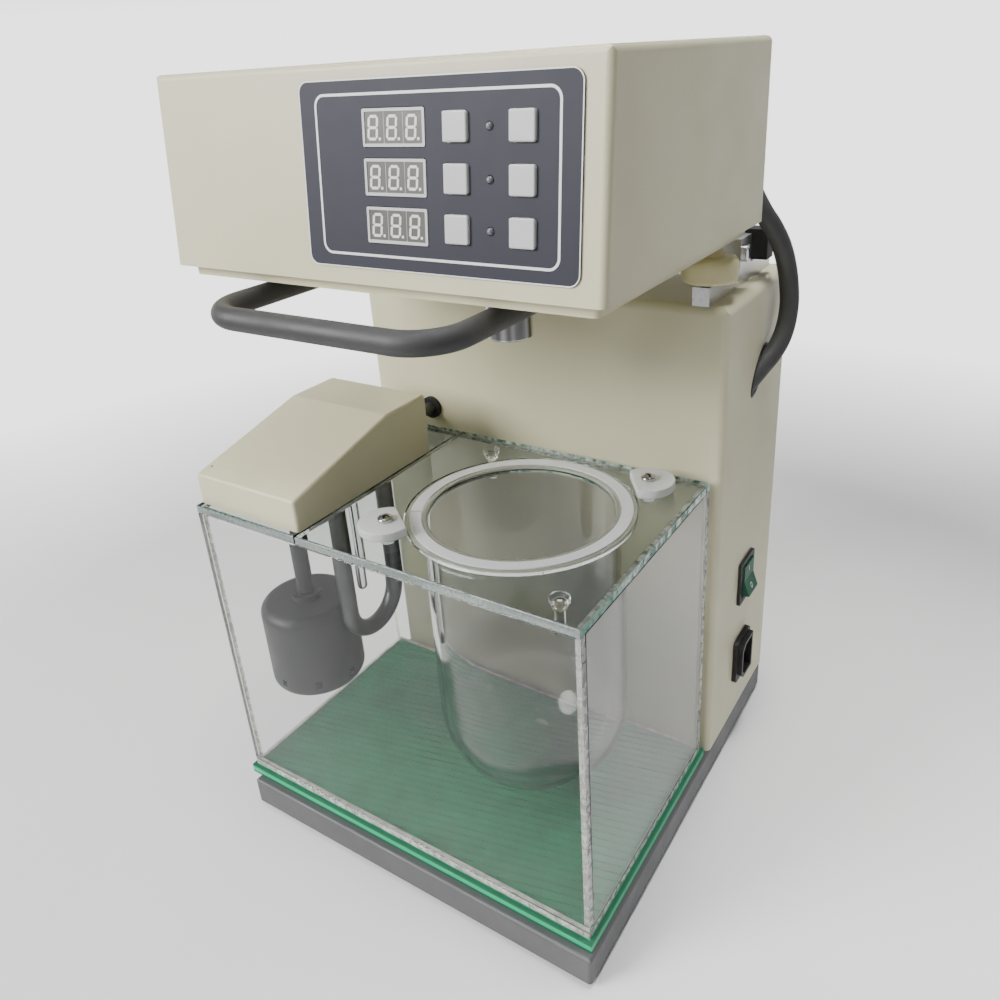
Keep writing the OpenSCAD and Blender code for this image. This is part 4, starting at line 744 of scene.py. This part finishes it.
def knobCorners(k, top):
    # stem through the lid, a waisted neck and a rounded cap
    low = top - k["drop"]
    stem = [(0, low), (k["stem"], low, k["end"]), (k["stem"], top + k["gap"], 0)]
    cap = [(k["radius"] - inset, top + rise, ease) for inset, rise, ease in k["line"]]
    return stem + cap + [(0, cap[-1][1])]


def camRings(c, low):
    # a disc with one side cut flat, drawn in at its upper and lower edges on a radius
    grid = []
    for i, z in easedEdges(c["edge"], low, low + c["thick"], 4):
        r, flat = c["radius"] - i, c["flat"] - i
        part = math.acos(flat / r)
        turn = np.linspace(part, 2 * np.pi - part, 72)  # round the disc, then along the flat
        along = np.linspace(-1, 1, 20)[1:-1] * math.sqrt(r * r - flat * flat)
        x = np.append(r * np.cos(turn), np.full(len(along), flat))
        y = np.append(r * np.sin(turn), along)
        grid.append(raised(np.column_stack([x, y]), z))
    return np.stack(grid) * mm


def turnedAt(points, degrees, place):
    c, s = math.cos(math.radians(degrees)), math.sin(math.radians(degrees))
    return points @ np.array([(c, s, 0), (-s, c, 0), (0, 0, 1)]) + np.append(place, 0)


def screwGrid(s, low):
    # a dome that falls off as an ellipse, less a cross with soft sides
    fall = np.linspace(0, np.pi / 2, 44)
    reach = np.append(s["radius"] * np.sin(fall), s["radius"])[:, None]
    height = np.append(s["side"] + (s["rise"] - s["side"]) * np.cos(fall), 0.0)[:, None]
    angle = np.linspace(0, 2 * np.pi, 144, endpoint=False)[None, :]
    x, y = reach * np.cos(angle), reach * np.sin(angle)
    slim, wide = np.minimum(np.abs(x), np.abs(y)), np.maximum(np.abs(x), np.abs(y))
    side, end = s["soft"]
    cut = np.clip((s["cross"] - slim) / side + 0.5, 0, 1) * np.clip((s["arm"] - wide) / end + 0.5, 0, 1)
    return np.stack([x, y, low + height - s["sink"] * cut], -1)[::-1] * mm


parts = [turned(knobCorners(knobs, lidTop), place, coarse) for place in knobs["places"]]
addPiece("lid_knobs.clear", joinArrays(parts), "lid", acrylic, ("lid_knobs",), 40)
for node, place in pivots.items():
    top = float(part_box(node)[1][2]) / mm
    under, low, r = top - cams["thick"], lidTop + cams["gap"], cams["boss"]
    points, faces = tube(camRings(cams, under))
    disc = turnedAt(points, cams["ways"][node], place), faces
    boss = turned([(0, low), (r, low, 0), (r, under, 0), (0, top - cams["core"])], place, coarse)
    addPiece(node + ".plate", joinArrays([disc, boss]), node, frosted, (node,), 50)


def crossFaces(arrays, s):
    # truth value for each face whose middle lies in the cross
    middle = np.sort(np.abs(cornersOf(*arrays).mean(1)[:, :2]) / mm, axis=1)
    return (middle[:, 0] < s["cross"]) & (middle[:, 1] < s["arm"])


parts, crossShadeFaces = [], []
headLow, nutLow = screwHigh[2] / mm - screws["rise"], screwLow[2] / mm
nutTop, edge = nutLow + screws["nut"], screws["edge"]
wide, slim = screws["radius"], screws["shank"]
nut = [(0, nutLow), (wide, nutLow, edge), (wide, nutTop, edge)]
shank = [(slim, nutTop, 0), (slim, headLow, 0), (0, headLow)]
head = tube(screwGrid(screws, headLow))
for turn, place in zip(screws["turns"], pivots.values()):
    parts.append((turnedAt(head[0], turn, place), head[1]))
    parts.append(turned(nut + shank, place, coarse))
    crossShadeFaces += [crossFaces(head, screws), np.zeros(len(parts[-1][1]), bool)]
# the faces in each cross take the near-black metal, painted shade in the recess
addPiece("cam_screws.steel", joinArrays(parts), "lid", screwSteel, ("cam_screws",), 50,
         [(recessPaintedShade, np.concatenate(crossShadeFaces))])
print("lid fittings made")

# slots of the hinge pivots: dark plates set into the screw faces, painted shade in the slots
slots = {"width": 0.9, "share": 0.78, "turn": 35, "sink": 0.3, "proud": 0.02}
pivotLow, pivotHigh = (np.array(v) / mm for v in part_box("pivot_screws"))
across = pivotHigh[1] - pivotLow[1]
outline = roundedOutline(slots["width"], across * slots["share"], 0.1)
c, s = math.cos(math.radians(slots["turn"])), math.sin(math.radians(slots["turn"]))
outline = outline @ np.array([(c, s), (-s, c)]) + (pivotLow + pivotHigh)[1:] / 2
parts = []
for face, sign in ((pivotHigh[0], 1), (pivotLow[0], -1)):
    depths = (face - sign * slots["sink"], face + sign * slots["proud"])
    grid = np.stack([np.column_stack([np.full(len(outline), x), outline]) for x in depths])
    parts.append(outward(*tube(grid * mm)))
addPiece("pivot_screws.slots", joinArrays(parts), "base", recessPaintedShade)
print("pivot slots made")

# turned pieces
chuckLow, chuckHigh = (np.array(v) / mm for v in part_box("chuck"))
chuck = {"bore": 5.0, "depth": 20.0, "edge": 0.8, "mouth": 0.5}
r, low, high = (chuckHigh[0] - chuckLow[0]) / 2, chuckLow[2], chuckHigh[2]
bore, edge, deep = chuck["bore"], chuck["edge"], low + chuck["depth"]
hollow = [(0, deep), (bore, deep, 0), (bore, low, chuck["mouth"])]
outside = [(r, low, edge), (r, high, edge), (0, high)]
addPiece("chuck.body", turned(hollow + outside, (chuckLow + chuckHigh)[:2] / 2 * mm, fine), "spindle",
         chuckSteel, ("chuck",), 40)
wheel = {
    "thick": 13.0, "edge": 4.0, "under": 2.5, "hub": 7.0, "hubEdge": 0.6,
    "stud": 3.05, "mouth": 0.3, "cover": 2.2,  # the stud's hole, and what closes it above
}
for node in ("rest_wheel_left", "rest_wheel_right"):
    low, high = (np.array(v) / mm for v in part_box(node))
    r = (high[0] - low[0]) / 2
    rim, top, deep = low[2] + wheel["thick"], high[2], high[2] - wheel["cover"]
    corners = [
        (0, deep), (wheel["stud"], deep, 0), (wheel["stud"], low[2], wheel["mouth"]),
        (r, low[2], wheel["under"]), (r, rim, wheel["edge"]),
        (wheel["hub"], rim, wheel["hubEdge"]), (wheel["hub"], top, wheel["hubEdge"]), (0, top),
    ]
    addPiece(node + ".nylon", turned(corners, (low + high)[:2] / 2 * mm, fine), node, nylon, (node,),
             40)
print("turned pieces made")

# control panel
panel = {
    "rows": (65.8, 46.2, 26.6),
    "displayAt": 26.4,
    "cell": 10.13,
    "window": (9.85, 12.4, 0.15),
    "digit": {"wide": 4.5, "tall": 8.8, "bar": 1.15, "lean": 0.09, "shift": -0.7},
    "labelAt": (44.2, 46.2),
    "label": (140.5, 77.5, 5.0),
    "line": (44.35, 46.25, 121.7, 65.5, 4.6, 1.1),
    "rim": 0.5,
    "depths": {"window": (0.79, 0.86), "figure": (0.85, 0.93), "line": (0.78, 0.84), "rim": (0.70, 0.83)},
}


def plate(outline, low, high):
    # a flat outline carried straight out of the panel
    points, faces = tube(np.stack([raised(outline, z) for z in (low, high)]))
    return onPanel(points * mm), faces


def ringPlate(x, up, w, h, r, width, low, high):
    # a rounded rectangle's border of even width
    wide = roundedOutline(w + width, h + width, r + width / 2, 10) + (x, up)
    slim = roundedOutline(w - width, h - width, max(r - width / 2, 0.05), 10) + (x, up)
    grid = np.stack([raised(wide, low), raised(wide, high), raised(slim, high), raised(slim, low)])
    return onPanel(grid.reshape(-1, 3) * mm), gridFaces(4, len(wide), True, True)


def barOutline(long, bar):
    # a straight bar with pointed ends
    l, b = long / 2, bar / 2
    return np.array([(-l, 0), (-l + b, b), (l - b, b), (l, 0), (l - b, -b), (-l + b, -b)])


def digitOutlines(d):
    # seven bars of one figure and its point, leaning a little to the right
    w, t, b = d["wide"], d["tall"], d["bar"]
    flat = barOutline(w - 0.25, b)
    tall = barOutline(t / 2 - 0.25, b)[:, ::-1]
    bars = [flat + (0, y) for y in (-t / 2, 0, t / 2)]
    bars += [tall + (x, y) for x in (-w / 2, w / 2) for y in (-t / 4, t / 4)]
    a = np.linspace(0, 2 * np.pi, 16, endpoint=False)
    bars.append(np.column_stack([np.cos(a), np.sin(a)]) * 0.65 + (w / 2 + 1.7, -t / 2))
    return [o + np.column_stack([o[:, 1] * d["lean"] + d["shift"], np.zeros(len(o))]) for o in bars]


cells = [(panel["displayAt"] + k * panel["cell"], up) for up in panel["rows"] for k in (-1, 0, 1)]
depths, rim = panel["depths"], panel["rim"]
pane = roundedOutline(*panel["window"])
parts = [plate(pane + c, *depths["window"]) for c in cells]
addPiece("displays.windows", joinArrays(parts), "head", windowGrey)
parts = [plate(o + c, *depths["figure"]) for c in cells for o in digitOutlines(panel["digit"])]
addPiece("displays.figures", joinArrays(parts), "head", segmentWhite)
addPiece("control_label.line", ringPlate(*panel["line"], *depths["line"]), "head", printAndHighlightWhite)
# the label's thin white border is a painted highlight along its edges, in the print colour
w, h, r = panel["label"]
border = ringPlate(*panel["labelAt"], w - rim, h - rim, r - rim / 2, rim, *depths["rim"])
addPiece("control_label.rim", border, "head", printAndHighlightWhite)
print("panel printed")

# switch marks
rocker = {
    "pivot": (122.0, 90.5, 128.0), "lean": math.radians(10), "mid": 6.2, "tip": 8.05, "half": 10.5,
    "mark": 6.3,  # the marks' distance from the middle
    "ring": (1.1, 1.6), "band": (1.22, 0.86),  # half sizes, and their shares outside and inside
    "bar": (0.5, 3.6, 0.2), "depth": (-0.1, 0.06),
}


def onRocker(points, side, r):
    # (across, along, out) of one half of the rocker's face to the row frame
    slope = math.atan2(r["tip"] - r["mid"], r["half"])
    p = np.asarray(points, float)
    along = p[..., 1] + r["mark"]
    x = r["mid"] + along * math.sin(slope) + p[..., 2] * math.cos(slope)
    z = side * (along * math.cos(slope) - p[..., 2] * math.sin(slope))
    c, s = math.cos(r["lean"]), math.sin(r["lean"])
    return np.stack([x * c - z * s, p[..., 0], x * s + z * c], -1) + r["pivot"]


a = np.linspace(0, 2 * np.pi, 32, endpoint=False)
loop = np.column_stack([np.cos(a), np.sin(a)]) * rocker["ring"]
(wide, slim), (low, high) = rocker["band"], rocker["depth"]
grid = np.stack([raised(loop * k, z) for k, z in ((wide, low), (wide, high), (slim, high), (slim, low))])
ringMark = (onRocker(grid.reshape(-1, 3), -1, rocker) * mm, gridFaces(4, len(loop), True, True))
points, faces = tube(np.stack([raised(roundedOutline(*rocker["bar"]), z) for z in rocker["depth"]]))
barMark = (onRocker(points, 1, rocker) * mm, faces)
addPiece("switch_rocker.marks", joinArrays([ringMark, barMark]), "switch_rocker", printAndHighlightWhite)
print("switch marked")

# room and light
room = {
    "floor": 2.0,
    "tone": (0.86, 0.86, 0.86),
    "fade": (0.5, 1.0),  # the floor passes into the room between these distances
    "bright": (-0.55, 0.83, 0.0),  # the walls are brightest this way
    "walls": (0.08, 2.4),
    "narrow": (0.5, 0.8),  # cosines between which the walls grow bright
    "height": (0.06, 0.2),  # the walls end between these sines of the elevation
    "ceiling": 0.24,
}
lamps = [
    {"name": "keyLamp", "place": (-1.0, -1.5, 1.2), "aim": (0, 0, 0.25), "size": 1.1, "power": 68},
    {"name": "topLamp", "place": (-0.2, -0.1, 1.8), "aim": (0, 0, 0.2), "size": 1.2, "power": 10},
    {"name": "floorLamp", "place": (0.25, 0.05, 1.5), "aim": (0.25, 0.08, 0), "size": 0.4, "power": 1.2,
     "beam": 40},
]


def buildRoom(r):
    h = r["floor"]
    points = [(-h, -h, 0), (h, -h, 0), (h, h, 0), (-h, h, 0)]
    mesh = bpy.data.meshes.new("paleFloor")
    mesh.from_pydata(points, [], [(0, 1, 2, 3)])
    finish = coatFinish("paleFloor", r["tone"], 0.8, 0.00002, 0.00001, 0.01)
    tree = finish.node_tree
    away = addNode(tree, "ShaderNodeVectorMath", operation="LENGTH")
    tree.links.new(addNode(tree, "ShaderNodeTexCoord").outputs["Object"], away.inputs[0])
    fade = addNode(tree, "ShaderNodeMixShader")
    tree.links.new(spread(tree, away.outputs["Value"], 0, 1, *r["fade"]), fade.inputs[0])
    tree.links.new(tree.nodes["Principled BSDF"].outputs[0], fade.inputs[1])
    tree.links.new(addNode(tree, "ShaderNodeBsdfTransparent").outputs[0], fade.inputs[2])
    tree.links.new(fade.outputs[0], tree.nodes["Material Output"].inputs["Surface"])
    mesh.materials.append(finish)
    floor = bpy.data.objects.new("paleFloor", mesh)
    bpy.context.collection.objects.link(floor)
    world = bpy.data.worlds.new("paleRoom")
    world.use_nodes = True
    tree = world.node_tree
    way = addNode(tree, "ShaderNodeTexCoord").outputs["Generated"]
    toward = addNode(tree, "ShaderNodeVectorMath", operation="DOT_PRODUCT")
    toward.inputs[1].default_value = r["bright"]
    tree.links.new(way, toward.inputs[0])
    walls = spread(tree, toward.outputs["Value"], *r["walls"], *r["narrow"])
    up = addNode(tree, "ShaderNodeSeparateXYZ")
    tree.links.new(way, up.inputs[0])
    power = addNode(tree, "ShaderNodeMath", operation="MULTIPLY_ADD")
    tree.links.new(spread(tree, up.outputs["Z"], 1, 0, *r["height"]), power.inputs[0])
    tree.links.new(walls, power.inputs[1])
    power.inputs[2].default_value = r["ceiling"]
    tree.links.new(power.outputs[0], tree.nodes["Background"].inputs["Strength"])
    tree.nodes["Background"].inputs["Color"].default_value = (1, 1, 1, 1)
    bpy.context.scene.world = world


def hangLamp(s):
    lamp = bpy.data.lights.new(s["name"], "AREA")
    lamp.shape = "DISK"
    lamp.size = s["size"]
    lamp.energy = s["power"]
    lamp.spread = math.radians(s.get("beam", 180))
    holder = bpy.data.objects.new(s["name"], lamp)
    way = np.array(s["aim"]) - np.array(s["place"])
    holder.location = s["place"]
    flat = math.hypot(way[0], way[1])
    holder.rotation_euler = (math.atan2(flat, -way[2]), 0, math.atan2(-way[0], way[1]))
    bpy.context.collection.objects.link(holder)


buildRoom(room)
for s in lamps:
    hangLamp(s)
print("room lit")
